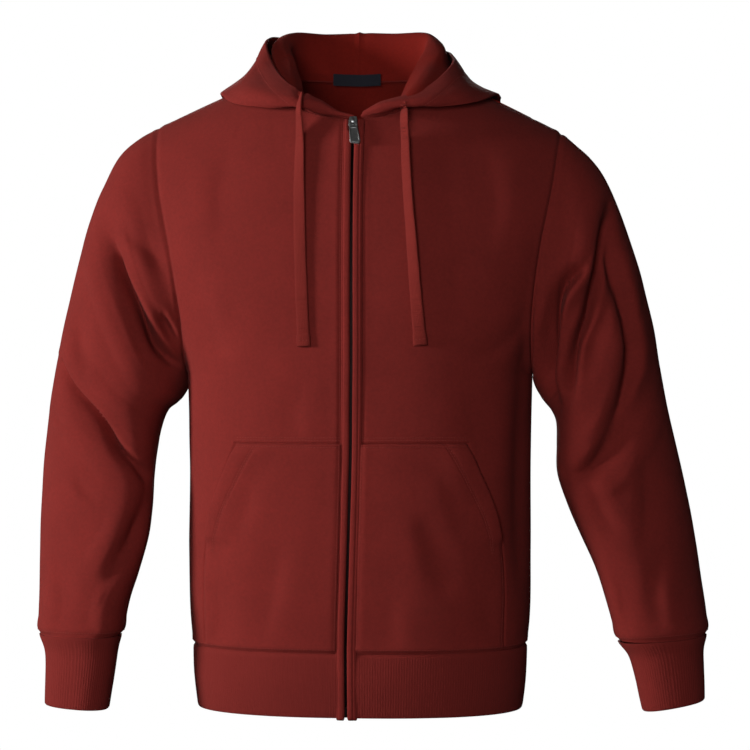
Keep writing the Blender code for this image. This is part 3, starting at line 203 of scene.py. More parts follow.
# zip, plackets, slider and tab, as the solids have them
PLACKET_IN = 0.0018      # from the zip's line to the placket's inner edge
PLACKET_PROUD = 0.0021
PLACKET_END_Z = -0.6965
PLACKET_TOP_Z = -0.0490
CHAIN_FRONT = 0.0012
SPREAD_LOW_Z = -0.0680   # the zip's edges part between these heights to take the slider
SPREAD_TOP_Z = -0.0610
SPREAD_CLEAR = 0.0004    # from the slider to the parted edges
SLIDER_TOP_Z = -0.0475
SLIDER_LENGTH = 0.0120
SLIDER_WIDTH = 0.0100
HINGE_OUT = 0.0040       # the hinge's distance from the front face
ARCH_WIDE = 0.0012       # half the width of the slider's arch
TAB_LENGTH = 0.0280
TAB_THICK = 0.0012
TAB_TILT = math.radians(24.0)
TAB_BAR = 0.0006         # half the height of the tab's top bar, on the hinge
TAB_TOP_HALF = 0.0046    # half width at the top
TAB_LOW_HALF = 0.0058    # and near the bottom
TAB_CHAMFER = (0.0016, 0.0035)           # across and up, at the bottom corners
TAB_WINDOW = (0.0019, -0.0056, -0.0006)  # half width, bottom, top

# drawcords and label: x and z of each cord, from its eyelet to its folded end
CORD_WIDTH = 0.0135
CORD_THICK = 0.0028
CORD_CLEAR = 0.0005
CORD_TOP_Y = -0.0990     # the cords hang this far forward where they leave the hood
LEFT_CORD = (
    (.0560, -.0345), (.0575, -.0700), (.0610, -.1200), (.0668, -.1850), (.0722, -.2500), (.0765, -.2950),
)
RIGHT_CORD = (
    (-.0570, -.0240), (-.0555, -.0600), (-.0545, -.1200), (-.0525, -.1850), (-.0500, -.2500),
    (-.0480, -.2960),
)
LABEL_WIDTH = 0.054
LABEL_HEIGHT = 0.0135
LABEL_THICK = 0.0006
LABEL_CLEAR = 0.0006

# ---------------------------------------------------------------- sizes of the looks
SIDES = ((1, "left"), (-1, "right"))  # the wearer's sides; the right one is built in positive x and mirrored
ACROSS = (1.0, 0.0, 0.0)
SQUARE = ((-1, -1), (1, -1), (1, 1), (-1, 1))  # the corners of a square section, in turning order
SHOWN_CLOTH = 0.0020     # thickness of the shown cloth shells
BODY_ROWS = (-0.6243, -0.585, -0.545, -0.508, -0.472, -0.435, -0.400, -0.363, ARMPIT_Z)
BODY_FINE = 10           # rows for each step between those heights
ARM_STEPS = 12           # the solids' steps up the armhole
ARM_FINE = 6             # rows for each of them
COLUMN_FINE = 7          # columns for each of the solids' columns
SLEEVE_FINE = 13         # rings for each section of a sleeve
HOOD_STATIONS = 14       # steps along a hood half
HOOD_FINE = 7            # columns for each of them
HOOD_ROWS_FINE = 13      # rows for each layer of its profile
CUFF_ROWS = 17
HEM_ROWS = 7
RIB_SAMPLES = 5          # columns for each rib

# unevenness of relaxed cloth: size of its lumps, their height and the number that picks their pattern
UNEVEN = {
    "front": (0.085, 0.0011, 11),
    "back": (0.085, 0.0011, 17),
    "pocket": (0.045, 0.0005, 31),
    "sleeve": (0.075, 0.0013, 41),
    "cuff": (0.035, 0.0008, 51),
    "hem": (0.060, 0.0008, 61),
    "hood": (0.060, 0.0014, 71),
}
# grooves along seams: depth and half width
ARMHOLE_DIP = {1: (0.0014, 0.0024), -1: (0.0005, 0.0024)}
HEM_DIP = (0.0020, 0.0024)
SHOULDER_DIP = (0.0012, 0.0024)
ZIP_DIP = (0.0012, 0.0030)
UNDERARM_DIP = (0.0007, 0.0018)
HOOD_DIP = (0.0012, 0.0024)
ALLOWANCE = (0.00035, 0.0028)  # height and half width of the turned-in cloth's ridge beside a seam
ALLOWANCE_AT = 0.0062          # and how far that ridge lies from it

# stitches, and how far each row of them lies from its edge
STITCH_PITCH = 0.0032
STITCH_LONG = 0.0024
STITCH_THICK = 0.00036
STITCH_PROUD = 0.00012
PLACKET_LINE = 0.0016
HEM_LINE = 0.0048
CUFF_LINE = 0.0052
NECK_LINE = 0.0040
CREASE_STEEP = 0.7       # a crease's width on its ridge's side, for each of its half widths
CREASE_SOFT = 1.5        # and on the other side

# rib bands
RIB_SHOWN = 0.0028       # pitch of the shown ribs
RIB_RAISE = 0.00036
RIB_LEVEL = 0.4          # share of a rib's height that lies under the band's own level
RIB_UNDER = 0.0022       # how far the hem rib runs in under the plackets

# pockets
POCKET_TOP_Z = -0.400
POCKET_INSIDE = 40       # columns away from the stitch lines
POCKET_NIP = 0.0013      # how far the panel is drawn in along the pocket's edges
POCKET_GAP = 0.0036      # how far the hand openings stand open
POCKET_SPLAY = 0.0105    # how much further in the opening's stitches start, at the pocket's top
POCKET_SLANT = (-0.512, -0.500)  # between these heights the upright edge turns into the slanted one
POCKET_OPEN_LOW = -0.5200        # where the opening's stitches end
POCKET_OPEN_LINES = (0.0130, 0.0156)
POCKET_SIDE_LINE = 0.0032
POCKET_TOP_LINE = 0.0034
POCKET_TWIN = (0.0050, 0.0078)  # two rows above the pocket, on the front

# hood
HOOD_CHANNEL = 0.0240    # from the hood's edge to the seam of its cord channel
HOOD_TIP = 0.026         # how long the hood's front ends taper
HOOD_REACH = {1: 0.002, -1: 0.0125}  # how much further each front end reaches towards the zip
HOOD_DRIFT = -0.0085     # the hood's centre seam and the label hang a little to the wearer's right

# plackets and zip
PIPES = ((1, "left", 0.0122, 0.0078), (-1, "right", 0.0106, 0.0088))  # side, name, outer edge, topstitch
PIPE_LIP = 0.0011        # how far a pipe's round edge stands over the teeth
PIPE_GROOVE = 0.0007     # depth of its topstitch groove
PIPE_UNDER = 0.0016      # how far its round top runs in behind the front face
PIPE_WANDER = 0.00035    # how far its edge wanders from a straight line
BEVELS = {"teeth": 0.00018, "slider": 0.00030, "tab": 0.00022}
TOOTH_PITCH = 0.0012
# one row for each block of a tooth: depth behind the chain's front, shift across, half sizes
TOOTH = (
    (0.0010, 0.0006, (0.0015, 0.0009, TOOTH_PITCH * 0.40)),
    (0.0002, 0.0009, (0.0008, 0.0004, TOOTH_PITCH * 0.28)),
)
# the pin's box at the bottom: depth, rise, half sizes
PIN_BOX = (
    (0.0014, 0.0, (0.0019, 0.0012, 0.0052)),
    (0.0003, 0.0020, (0.0014, 0.0006, 0.0010)),
)
BACKING_HALF = 0.0036    # the tapes behind the teeth
BACKING_DEEP = 0.0036
BACKING_THICK = 0.00025  # half their thickness
SLIDER_TAPER = (0.45, 0.78)  # shares of its half width at the top's middle and at the bottom
SLIDER_PLATES = ((0.0014, 0.0029, 1.0), (-0.0046, -0.0034, 0.96))  # from, to, share of the full size
ARCH_THICK = 0.00055     # half the thickness of the arch's bar
ARCH_REACH = 0.0036      # half the arch's length
ARCH_BASE = 0.0026       # its ends' distance from the front face
ARCH_RISE = 0.0033
TAB_LEAN = 0.13          # sideways lean of the hanging tab to the wearer's left
TAB_WAIST = (0.0045, -0.0080)  # half width and height where the tab starts to widen again
TAB_RIM = 0.0009         # width of the rim round the tab's sunk panel
TAB_PANEL = (0.0040, -0.0085)  # half width of that panel's top, and its height

# cords and eyelets
CORD_FINE = 300          # steps along a cord
CORD_AROUND = 20         # points round it
CORD_FOLD = 0.0130       # length of the cord's folded, sewn end
CORD_RIB = 0.17          # share of its thickness by which a cord's cross ribs stand out
CORD_RIB_PITCH = 0.0011
CORD_GATHER = 0.62       # share of its width that a cord has at its eyelet
CORD_EXIT_UP = 0.0010    # from the top of a cord's line to its eyelet
CORD_EXIT_RUN = 0.0160   # length over which it bends down from the eyelet
EYELET_WIDE = 0.0031
EYELET_HIGH = 0.0052
EYELET_STITCHES = 30
EYELET_THREAD = (0.00105, 0.00060)  # half width of the ring of stitches, and how far it stands out
# share of the cord's length, and how far it is turned on edge there in degrees
LEFT_TWIST = ((0.0, 58.0), (0.10, 58.0), (0.25, 50.0), (0.6, 38.0), (0.85, 18.0), (1.0, 5.0))
RIGHT_TWIST = ((0.0, 52.0), (0.08, 52.0), (0.2, 38.0), (0.45, 16.0), (0.8, 4.0), (1.0, 0.0))

# raised and sunk places of the pockets, sleeve ends, ribs, the hood's channel, the pipes, zip and cords
POCKET_WELT = 0.00045
POCKET_GROOVE = 0.00050
POCKET_LEAST = 0.0004            # least thickness of a pocket's cloth
SLEEVE_END_ROLL = 0.0030
SLEEVE_END_DIP = 0.0012
CUFF_RIB = 0.0012                # depth of the cuffs' ribs
CUFF_END_DIP = 0.0007
HEM_RIB = 0.0010
HEM_SEAM_DIP = 0.0018
HEM_END_DIP = 0.0006
CHANNEL_PUFF = 0.0006
CHANNEL_DIP = 0.0005
CHANNEL_CORD = 0.0004            # rise over the cord inside the channel
PIPE_LOW_END = 0.004             # length of a pipe's rounded ends
PIPE_TOP_END = 0.0025
ZIP_START = 0.0125               # first tooth above the hem's edge
ZIP_STOP = 0.001                 # last tooth below the top
ZIP_BOX_UP = 0.0060
TAPE_UP = 0.0006
CORD_START = (-0.0030, 0.0008, 0.0040)  # how far the cord's first points stand out of its hole
CORD_BEND_DROP = 0.0035

# one row for each crease: its path in x and z, half width, depth, ridge height (its sign picks the ridge's
# side) and the side it lies on (-1 front, 1 back)
FRONT_CREASES = (
    (((-.073, -.500), (-.084, -.560), (-.096, -.615)), 0.015, 0.0026, 0.0006, -1),
    (((.074, -.470), (.090, -.519), (.104, -.565)), 0.014, 0.0032, -0.0008, -1),
    (((-.188, -.258), (-.158, -.292), (-.118, -.303)), 0.008, 0.0024, -0.0008, -1),
    (((-.176, -.215), (-.156, -.268), (-.132, -.331)), 0.013, 0.0020, 0.0006, -1),
    (((.190, -.262), (.162, -.296), (.128, -.308)), 0.008, 0.0024, 0.0008, -1),
    (((-.134, -.083), (-.143, -.126), (-.136, -.190)), 0.017, 0.0022, -0.0006, -1),
    (((.143, -.085), (.153, -.139), (.145, -.202)), 0.017, 0.0026, 0.0006, -1),
    (((-.050, -.330), (-.060, -.369), (-.054, -.398)), 0.014, 0.0014, 0.0004, -1),
    (((.050, -.560), (.044, -.590), (.050, -.620)), 0.012, 0.0016, 0.0004, -1),
    (((-.150, -.545), (-.143, -.590), (-.150, -.622)), 0.012, 0.0024, -0.0006, -1),
    (((.128, -.340), (.138, -.420), (.130, -.480)), 0.018, 0.0022, -0.0005, -1),
    (((.150, -.545), (.144, -.580), (.152, -.620)), 0.012, 0.0020, 0.0006, -1),
    (((.197, -.240), (.194, -.330), (.191, -.400), (.189, -.460), (.189, -.520), (.190, -.575)),
     0.0115, 0.0100, 0.0002, -1),
)
BACK_CREASES = (
    (((-.188, -.258), (-.150, -.300), (-.095, -.318)), 0.009, 0.0030, -0.0010, 1),
    (((.188, -.262), (.146, -.298), (.085, -.312)), 0.009, 0.0030, 0.0010, 1),
    (((-.172, -.200), (-.158, -.260), (-.128, -.330)), 0.014, 0.0026, 0.0007, 1),
    (((.168, -.205), (.152, -.270), (.118, -.345)), 0.014, 0.0026, -0.0007, 1),
    (((.046, -.380), (.062, -.470), (.050, -.570)), 0.018, 0.0036, 0.0009, 1),
    (((-.064, -.400), (-.052, -.480), (-.070, -.580)), 0.017, 0.0032, -0.0009, 1),
    (((-.110, -.545), (-.050, -.572), (.020, -.560)), 0.011, 0.0026, 0.0008, 1),
    (((.135, -.540), (.080, -.585), (.030, -.600)), 0.010, 0.0022, 0.0007, 1),
    (((.006, -.130), (-.008, -.220), (.004, -.310)), 0.020, 0.0024, 0.0006, 1),
    (((.110, -.100), (.124, -.150), (.112, -.215)), 0.016, 0.0022, 0.0006, 1),
    (((-.112, -.095), (-.122, -.155), (-.108, -.225)), 0.016, 0.0024, -0.0006, 1),
)
POCKET_CREASES = (
    (((.100, -.435), (.112, -.470), (.118, -.498)), 0.010, 0.0012, -0.0003, -1),
    (((-.104, -.440), (-.114, -.475), (-.126, -.505)), 0.010, 0.0012, 0.0003, -1),
)
RIGHT_CREASES = (
    (((.269, -.180), (.255, -.216), (.237, -.250), (.221, -.280),
      (.210, -.299), (.197, -.312), (.183, -.308)), 0.0041, 0.0195, -0.0020, -1),
    (((.213, -.259), (.203, -.274), (.194, -.287), (.180, -.303)), 0.0044, 0.0210, -0.0024, -1),
    (((.263, -.152), (.243, -.178), (.222, -.192), (.207, -.211), (.195, -.238)),
     0.0085, 0.0042, 0.0010, -1),
    (((.336, -.306), (.329, -.317), (.315, -.342), (.284, -.372),
      (.260, -.402), (.236, -.426), (.224, -.446)), 0.0044, 0.0145, -0.0016, -1),
    (((.309, -.268), (.308, -.300), (.294, -.326)), 0.0080, 0.0022, 0.0008, -1),
    (((.236, -.415), (.227, -.453), (.234, -.488), (.250, -.520), (.268, -.556)),
     0.013, 0.0055, 0.0018, -1),
    (((.310, -.438), (.298, -.455), (.281, -.465)), 0.006, 0.0024, 0.0010, -1),
    (((.312, -.240), (.307, -.290), (.290, -.325)), 0.013, 0.0028, 0.0010, -1),
    (((.331, -.520), (.321, -.575), (.326, -.619)), 0.012, 0.0026, 0.0008, -1),
    (((.286, -.555), (.289, -.591), (.282, -.622)), 0.010, 0.0026, -0.0008, -1),
    (((.345, -.364), (.334, -.376), (.322, -.380)), 0.005, 0.0022, 0.0008, -1),
    (((.262, -.140), (.250, -.200), (.222, -.270), (.196, -.312)), 0.008, 0.0060, 0.0024, 1),
    (((.338, -.330), (.310, -.372), (.268, -.402), (.236, -.438)), 0.009, 0.0060, 0.0022, 1),
    (((.344, -.410), (.312, -.432), (.280, -.440)), 0.007, 0.0036, -0.0014, 1),
    (((.300, -.540), (.322, -.580), (.316, -.620)), 0.011, 0.0030, 0.0010, 1),
)
LEFT_CREASES = (
    (((.252, -.206), (.244, -.217), (.228, -.234), (.218, -.260),
      (.213, -.287), (.210, -.313), (.211, -.345)), 0.0066, 0.0250, 0.0024, -1),
    (((.204, -.270), (.204, -.300), (.211, -.335), (.222, -.362)), 0.0080, 0.0150, 0.0014, -1),
    (((.281, -.142), (.276, -.180), (.271, -.210), (.257, -.260),
      (.244, -.293), (.238, -.323), (.236, -.352)), 0.0060, 0.0200, 0.0020, -1),
    (((.281, -.146), (.285, -.185), (.291, -.219), (.302, -.273), (.306, -.306), (.297, -.347),
      (.281, -.380), (.257, -.420)), 0.0066, 0.0165, 0.0018, -1),
    (((.306, -.345), (.283, -.391), (.258, -.424), (.232, -.438)), 0.0070, 0.0070, -0.0026, -1),
    (((.316, -.415), (.318, -.467), (.315, -.515)), 0.012, 0.0030, -0.0008, -1),
    (((.334, -.515), (.327, -.560), (.333, -.604)), 0.010, 0.0026, 0.0008, -1),
    (((.276, -.520), (.291, -.562), (.297, -.610)), 0.011, 0.0028, -0.0008, -1),
    (((.252, -.432), (.267, -.470), (.284, -.500)), 0.010, 0.0036, 0.0012, -1),
    (((.268, -.135), (.252, -.200), (.226, -.268), (.196, -.318)), 0.008, 0.0062, 0.0024, 1),
    (((.336, -.345), (.306, -.380), (.262, -.408), (.232, -.440)), 0.009, 0.0060, 0.0022, 1),
    (((.348, -.440), (.316, -.462), (.282, -.468)), 0.007, 0.0036, -0.0014, 1),
    (((.296, -.530), (.318, -.575), (.314, -.622)), 0.011, 0.0030, 0.0010, 1),
)
HOOD_CREASES = (
    (((-.0480, -.0100), (-.0500, -.0250), (-.0440, -.0420)), 0.0045, 0.0030, 0.0010, -1),
    (((-.146, -.016), (-.112, -.030), (-.080, -.040)), 0.008, 0.0018, 0.0006, -1),
    (((.150, -.020), (.116, -.032), (.084, -.042)), 0.008, 0.0018, -0.0006, -1),
    (((-.020, 0.050), (-.013, 0.020)), 0.006, 0.0024, 0.0008, -1),
    (((-.080, 0.030), (-.058, -.030), (-.020, -.080)), 0.011, 0.0046, 0.0016, 1),
    (((.084, 0.024), (.060, -.034), (.024, -.076)), 0.011, 0.0046, -0.0016, 1),
    (((-.040, 0.034), (-.028, -.004), (-.006, -.034)), 0.009, 0.0026, -0.0010, 1),
    (((.112, -.010), (.098, -.050), (.066, -.092)), 0.009, 0.0030, 0.0010, 1),
    (((-.114, -.006), (-.100, -.048), (-.070, -.090)), 0.009, 0.0030, -0.0010, 1),
)

# each side's tables
SLEEVES = {1: (LEFT_SLEEVE, LEFT_FOLDS, LEFT_CREASES), -1: (RIGHT_SLEEVE, RIGHT_FOLDS, RIGHT_CREASES)}
CUFFS = {1: LEFT_CUFF, -1: RIGHT_CUFF}
HOODS = {1: LEFT_HOOD, -1: RIGHT_HOOD}
CORDS = {1: (LEFT_CORD, LEFT_TWIST), -1: (RIGHT_CORD, RIGHT_TWIST)}

# colours; for each cloth also its stitches' spacing across and along, how much the knit face and the nap
# stand out, how mottled it is and how rough
CLOTHS = (
    ("fleece_red", (0.214, 0.0190, 0.0152), 0.0013, 0.0011, 0.30, 0.9, 0.20, 0.88),
    ("rib_red", (0.205, 0.0186, 0.0150), 0.0009, 0.0010, 0.35, 0.6, 0.08, 0.88),
    ("cord_red", (0.225, 0.0215, 0.0165), 0.0016, 0.0011, 0.9, 0.5, 0.10, 0.88),
    ("thread_red", (0.260, 0.0340, 0.0270), 0.0004, 0.0004, 0.2, 0.3, 0.05, 0.7),
    # the inside's deeper, more saturated red is partly the brushed back's own colour and partly painted shade
    # and bounced light
    ("fleece_inside_painted_shade", (0.215, 0.0096, 0.0050), 0.0013, 0.0011, 0.30, 1.2, 0.20, 0.88),
)
CLOTH_LUMPS = (22.0, 300.0, 1400.0)  # scales of the broad and fine mottling and of the nap
METAL_WEAR = 420.0
# colour and thread spacing of the woven pieces, colour and roughness of the metals and of the near-black disc
# that paints the shadow inside each eyelet's slit
WOVEN = (("tape_red", (0.060, 0.0050, 0.0040), 0.0005), ("navy_weave", (0.0085, 0.0075, 0.016), 0.0007))
METALS = (("gunmetal", (0.300, 0.300, 0.300), 0.38), ("dark_teeth", (0.012, 0.008, 0.008), 0.42))
SLIT_SHADOW = ("eyelet_painted_shadow", (0.010, 0.0020, 0.0016), 0.95)

# stage, camera and lights: name, place, size, power and colour of each light
CAMERA_AZIMUTH = 5.0
CAMERA_TARGET = (0.01674, 0.00146, -0.326)
CAMERA_DISTANCE = 2.6
FRAME_WIDTH = 0.84
ROOM = 9.0
FLOOR_Z = -1.25
FLOOR_R = 2.4
STAGE_AROUND = 64
STAGE_ROWS = 24
LIGHT_TARGET = (0.0, 0.0, -0.30)
WORLD_LIGHT = 0.025
LIGHTS = (
    ("key", (-3.20, -1.12, 0.20), 0.8, 104.0, (1.0, 0.95, 0.92)),
    ("fill", (-0.25, -3.38, 0.0), 1.4, 43.0, (0.96, 1.00, 1.00)),
    ("back", (-0.35, 3.30, 0.75), 1.6, 80.0, (1.0, 0.98, 0.96)),
)


# ---------------------------------------------------------------- numbers and curves
def column(table, index):
    return np.array([row[index] for row in table], float)


def smooth_read(table, at, index=1):
    """Values of a table's column at places between its rows, on a smooth curve."""
    places = column(table, 0)
    values = column(table, index)
    slopes = np.gradient(values, places)
    at = np.clip(np.asarray(at, float), places.min(), places.max())
    k = np.clip(np.searchsorted(places, at) - 1, 0, len(places) - 2)
    step = places[k + 1] - places[k]
    t = (at - places[k]) / step
    return ((1 + 2 * t) * (1 - t) ** 2 * values[k] + t * (1 - t) ** 2 * step * slopes[k]
            + t * t * (3 - 2 * t) * values[k + 1] + t * t * (t - 1) * step * slopes[k + 1])


def through(points, at):
    """Points at parameters 0..n-1 on a smooth curve through n points (or rows of points)."""
    points = np.asarray(points, float)
    padded = np.concatenate([2 * points[:1] - points[1:2], points, 2 * points[-1:] - points[-2:-1]])
    at = np.asarray(at, float)
    k = np.clip(np.floor(at).astype(int), 0, len(points) - 2)
    t = (at - k).reshape((-1,) + (1,) * (points.ndim - 1))
    before, here, there, after = padded[k], padded[k + 1], padded[k + 2], padded[k + 3]
    return 0.5 * (2 * here + (there - before) * t
                  + (2 * before - 5 * here + 4 * there - after) * t * t
                  + (3 * here - before - 3 * there + after) * t ** 3)


def unit(vectors):
    return vectors / np.maximum(np.linalg.norm(vectors, axis=-1, keepdims=True), 1e-12)


def smoothstep(low, high, value):
    t = np.clip((value - low) / (high - low), 0.0, 1.0)
    return t * t * (3 - 2 * t)


def bump(distance, width):
    """1 at no distance, falling softly to 0 at the width and beyond."""
    q = np.clip(np.abs(distance) / width, 0.0, 1.0)
    return (1 - q * q) ** 2


def hump(distance, width):
    """1 at no distance, and a third of that at the width, without an end."""
    return np.exp(-(distance / width) ** 2)


def rounding(share, least):
    """A quarter circle's height over a share of its width, and never under the least."""
    return np.sqrt(np.clip(1 - (1 - np.clip(share, 0, 1)) ** 2, least, 1))


def signed_power(values, power):
    return np.sign(values) * np.abs(values) ** power


def together(*parts):
    """Numbers or arrays side by side on a new last axis, such as x, y and z."""
    return np.stack(np.broadcast_arrays(*parts), axis=-1)


def even_round(count):
    """Even turns round a closed section."""
    return 2 * math.pi * np.arange(count) / count


def in_order(parts, digits=5):
    return np.unique(np.round(np.concatenate(parts), digits))


def nearest(values, value):
    return int(np.argmin(np.abs(values - value)))


def run_lengths(points):
    """Distance along a line of points from its first one."""
    return np.concatenate([[0.0], np.cumsum(np.linalg.norm(np.diff(points, axis=0), axis=1))])


def read_points(at, places, points):
    """Points read at places along a line of points."""
    return together(*(np.interp(at, places, points[:, k]) for k in range(3)))


def grid_normals(grid, closed=False):
    down = np.gradient(grid, axis=0)
    if closed:
        across = (np.roll(grid, -1, axis=1) - np.roll(grid, 1, axis=1)) / 2
    else:
        across = np.gradient(grid, axis=1)
    return unit(np.cross(across, down))


def lengths_along(grid, axis):
    """Distance along the surface from the first row (axis 0) or column (axis 1)."""
    steps = np.linalg.norm(np.diff(grid, axis=axis), axis=2)
    pad = [(1, 0), (0, 0)] if axis == 0 else [(0, 0), (1, 0)]
    return np.cumsum(np.pad(steps, pad), axis=axis)


def turned(grid, side):
    """Points or directions built in positive x, mirrored for the wearer's right side."""
    return grid * np.array((side, 1.0, 1.0))


def hashed(ix, iy, iz, seed):
    """A fixed pseudo-random value from -1 to 1 for each whole-number place."""
    n = (ix * 374761393 + iy * 668265263 + iz * 2147483647 + seed * 1274126177) & 0xFFFFFFFF
    n = ((n ^ (n >> 13)) * 1274126177) & 0xFFFFFFFF
    n = n ^ (n >> 16)
    return (n & 0xFFFF) / 32767.5 - 1.0


def noise(points, size, seed=0):
    """Smooth noise from -1 to 1 over points, with lumps of about the given size."""
    q = np.asarray(points) / size
    base = np.floor(q).astype(np.int64)
    t = q - base
    t = t * t * (3 - 2 * t)
    total = 0.0
    for corner in itertools.product((0, 1), repeat=3):
        weight = np.prod(np.where(corner, t, 1 - t), axis=-1)
        total = total + weight * hashed(*np.moveaxis(base + corner, -1, 0), seed)
    return total


# ---------------------------------------------------------------- meshes
def make_piece(name, points, faces, material, slot, uv=None, body="garment", sharp=50):
    """A named mesh that rides on a body and takes the given material; its slot argument is not used."""
    mesh = bpy.data.meshes.new(name)
    mesh.from_pydata(np.asarray(points, float).tolist(), [], faces)
    mesh.materials.append(material)
    if uv is not None:
        layer = mesh.uv_layers.new(name="cloth")
        loops = np.zeros(len(mesh.loops), dtype=np.int32)
        mesh.loops.foreach_get("vertex_index", loops)
        layer.data.foreach_set("uv", np.asarray(uv, np.float32).reshape(-1, 2)[loops].ravel())
    mesh.shade_smooth()
    mesh.set_sharp_from_angle(angle=math.radians(sharp))
    piece = bpy.data.objects.new(name, mesh)
    bpy.context.scene.collection.objects.link(piece)
    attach(piece, body)
    return piece


def quads(rows, columns, closed=True):
    """Four point numbers for each cell of a grid of points."""
    j, i = np.meshgrid(np.arange(rows - 1), np.arange(columns if closed else columns - 1), indexing="ij")
    k = (i + 1) % columns
    corners = (j * columns + i, j * columns + k, (j + 1) * columns + k, (j + 1) * columns + i)
    return np.stack(corners, axis=2).reshape(-1, 4)


def shell(name, outer, inner, uv, material, slot, closed=False, lining_painted_shade=None):
    """A cloth wall between two grids of points, rims included; the lining material goes on its inside, its
    deeper, more saturated red partly the cloth's own colour and partly painted shade and bounced light.
    """
    rows, columns = outer.shape[:2]
    count = rows * columns
    middle = quads(rows, columns, closed)
    i = np.arange(columns if closed else columns - 1)
    k = (i + 1) % columns
    low = (rows - 1) * columns
    rims = [(i, i + count, k + count, k), (low + i, low + k, low + k + count, low + i + count)]
    if not closed:
        a = np.arange(rows - 1) * columns
        b = a + columns - 1
        rims.append((a, a + columns, a + columns + count, a + count))
        rims.append((b, b + count, b + columns + count, b + columns))
    faces = [middle, middle[:, [0, 3, 2, 1]] + count] + [np.stack(rim, axis=1) for rim in rims]
    faces = np.concatenate(faces)
    points = np.concatenate([outer.reshape(-1, 3), inner.reshape(-1, 3)])
    corners = points[middle]
    facing = np.cross(corners[:, 1] - corners[:, 0], corners[:, 3] - corners[:, 0])
    outward = points[middle[:, 0]] - points[middle[:, 0] + count]
    if np.sum(facing * outward) < 0:
        faces = faces[:, ::-1]
    piece = make_piece(name, points, faces.tolist(), material, slot, np.concatenate([uv, uv]))
    if lining_painted_shade is not None:
        piece.data.materials.append(lining_painted_shade)
        finish = np.zeros(len(faces), dtype=np.int32)
        finish[len(middle):2 * len(middle)] = 1
        piece.data.polygons.foreach_set("material_index", finish)
    return piece


def grid_uv(grid):
    """Places on the cloth in metres, across and along."""
    return together(lengths_along(grid, 1), lengths_along(grid, 0))


def joined(parts):
    """Several (points, faces) as one pair; faces are lists of point numbers."""
    points, faces, base = [], [], 0
    for some_points, some_faces in parts:
        points.append(np.asarray(some_points, float))
        faces += [tuple(base + k for k in face) for face in some_faces]
        base += len(some_points)
    return np.concatenate(points), faces


def ring_tube(rings):
    """Points and faces of a tube through rings of points, capped at both ends."""
    rows, columns = rings.shape[:2]
    faces = [tuple(face) for face in quads(rows, columns).tolist()]
    faces.append(tuple(range(columns - 1, -1, -1)))
    faces.append(tuple(range((rows - 1) * columns, rows * columns)))
    points = rings.reshape(-1, 3)
    middle = rings[rows // 2].mean(axis=0)
    corner = points[list(faces[(rows // 2) * columns])]
    facing = np.cross(corner[1] - corner[0], corner[3] - corner[0])
    if np.dot(facing, corner.mean(axis=0) - middle) < 0:
        faces = [tuple(reversed(face)) for face in faces]
    return points, faces


def box_mesh(centre, axes, halves):
    """A box with its corners given by a centre, three directions and three half sizes."""
    corners = []
    for signs in [(*pair, end) for end in (-1, 1) for pair in SQUARE]:
        away = sum(np.asarray(axis) * half * sign for axis, half, sign in zip(axes, halves, signs))
        corners.append(np.asarray(centre, float) + away)
    faces = [(0, 3, 2, 1), (4, 5, 6, 7), (0, 1, 5, 4), (1, 2, 6, 5), (2, 3, 7, 6), (3, 0, 4, 7)]
    return corners, faces


def plate(outline, low, high):
    """A flat plate from an outline in x and z with its thickness from low to high."""
    outline = list(outline)
    count = len(outline)
    points = [(x, y, z) for y in (low, high) for x, z in outline]
    faces = [tuple(range(count - 1, -1, -1)), tuple(range(count, 2 * count))]
    faces += [(k, (k + 1) % count, count + (k + 1) % count, count + k) for k in range(count)]
    return points, faces


def rounded(corners, radius, steps=5):
    """An outline with its corners rounded; corners are x and z pairs."""
    corners = [np.asarray(corner, float) for corner in corners]
    result = []
    for k, here in enumerate(corners):
        before = corners[k - 1]
        after = corners[(k + 1) % len(corners)]
        start = here + (before - here) / np.linalg.norm(before - here) * radius
        end = here + (after - here) / np.linalg.norm(after - here) * radius
        for t in np.linspace(0.0, 1.0, steps):
            result.append(tuple((1 - t) ** 2 * start + 2 * t * (1 - t) * here + t * t * end))
    return result


def bevel(piece, width, segments):
    edge = piece.modifiers.new("edges", "BEVEL")
    edge.width = width
    edge.segments = segments
    edge.limit_method = "ANGLE"
    edge.angle_limit = math.radians(35)


# ---------------------------------------------------------------- the body's surface
def zip_x(z):
    return smooth_read(ZIP_TABLE, z)


def armhole_x(z):
    return smooth_read(ARMHOLE_TABLE, z)


def side_x(z):
    z = np.asarray(z, float)
    return np.where(z > ARMPIT_Z, armhole_x(z), smooth_read(BODY_TABLE, z))


def drop_at(x):
    return np.where(np.asarray(x) > 0, LEFT_DROP, RIGHT_DROP)


def shoulder_z(x):
    x = np.asarray(x, float)
    return 0.040 - 0.31 * np.abs(x) - 0.40 * x * x - drop_at(x) * np.abs(x) / SHOULDER_X


def tip_z(x):
    return SHOULDER_TIP_Z - drop_at(x)


def closing(x, z, power):
    rise = np.clip((z - CLOSE_Z) / (shoulder_z(x) - CLOSE_Z), 0.0, 1.0)
    return (1.0 - rise ** power) ** (1.0 / power)


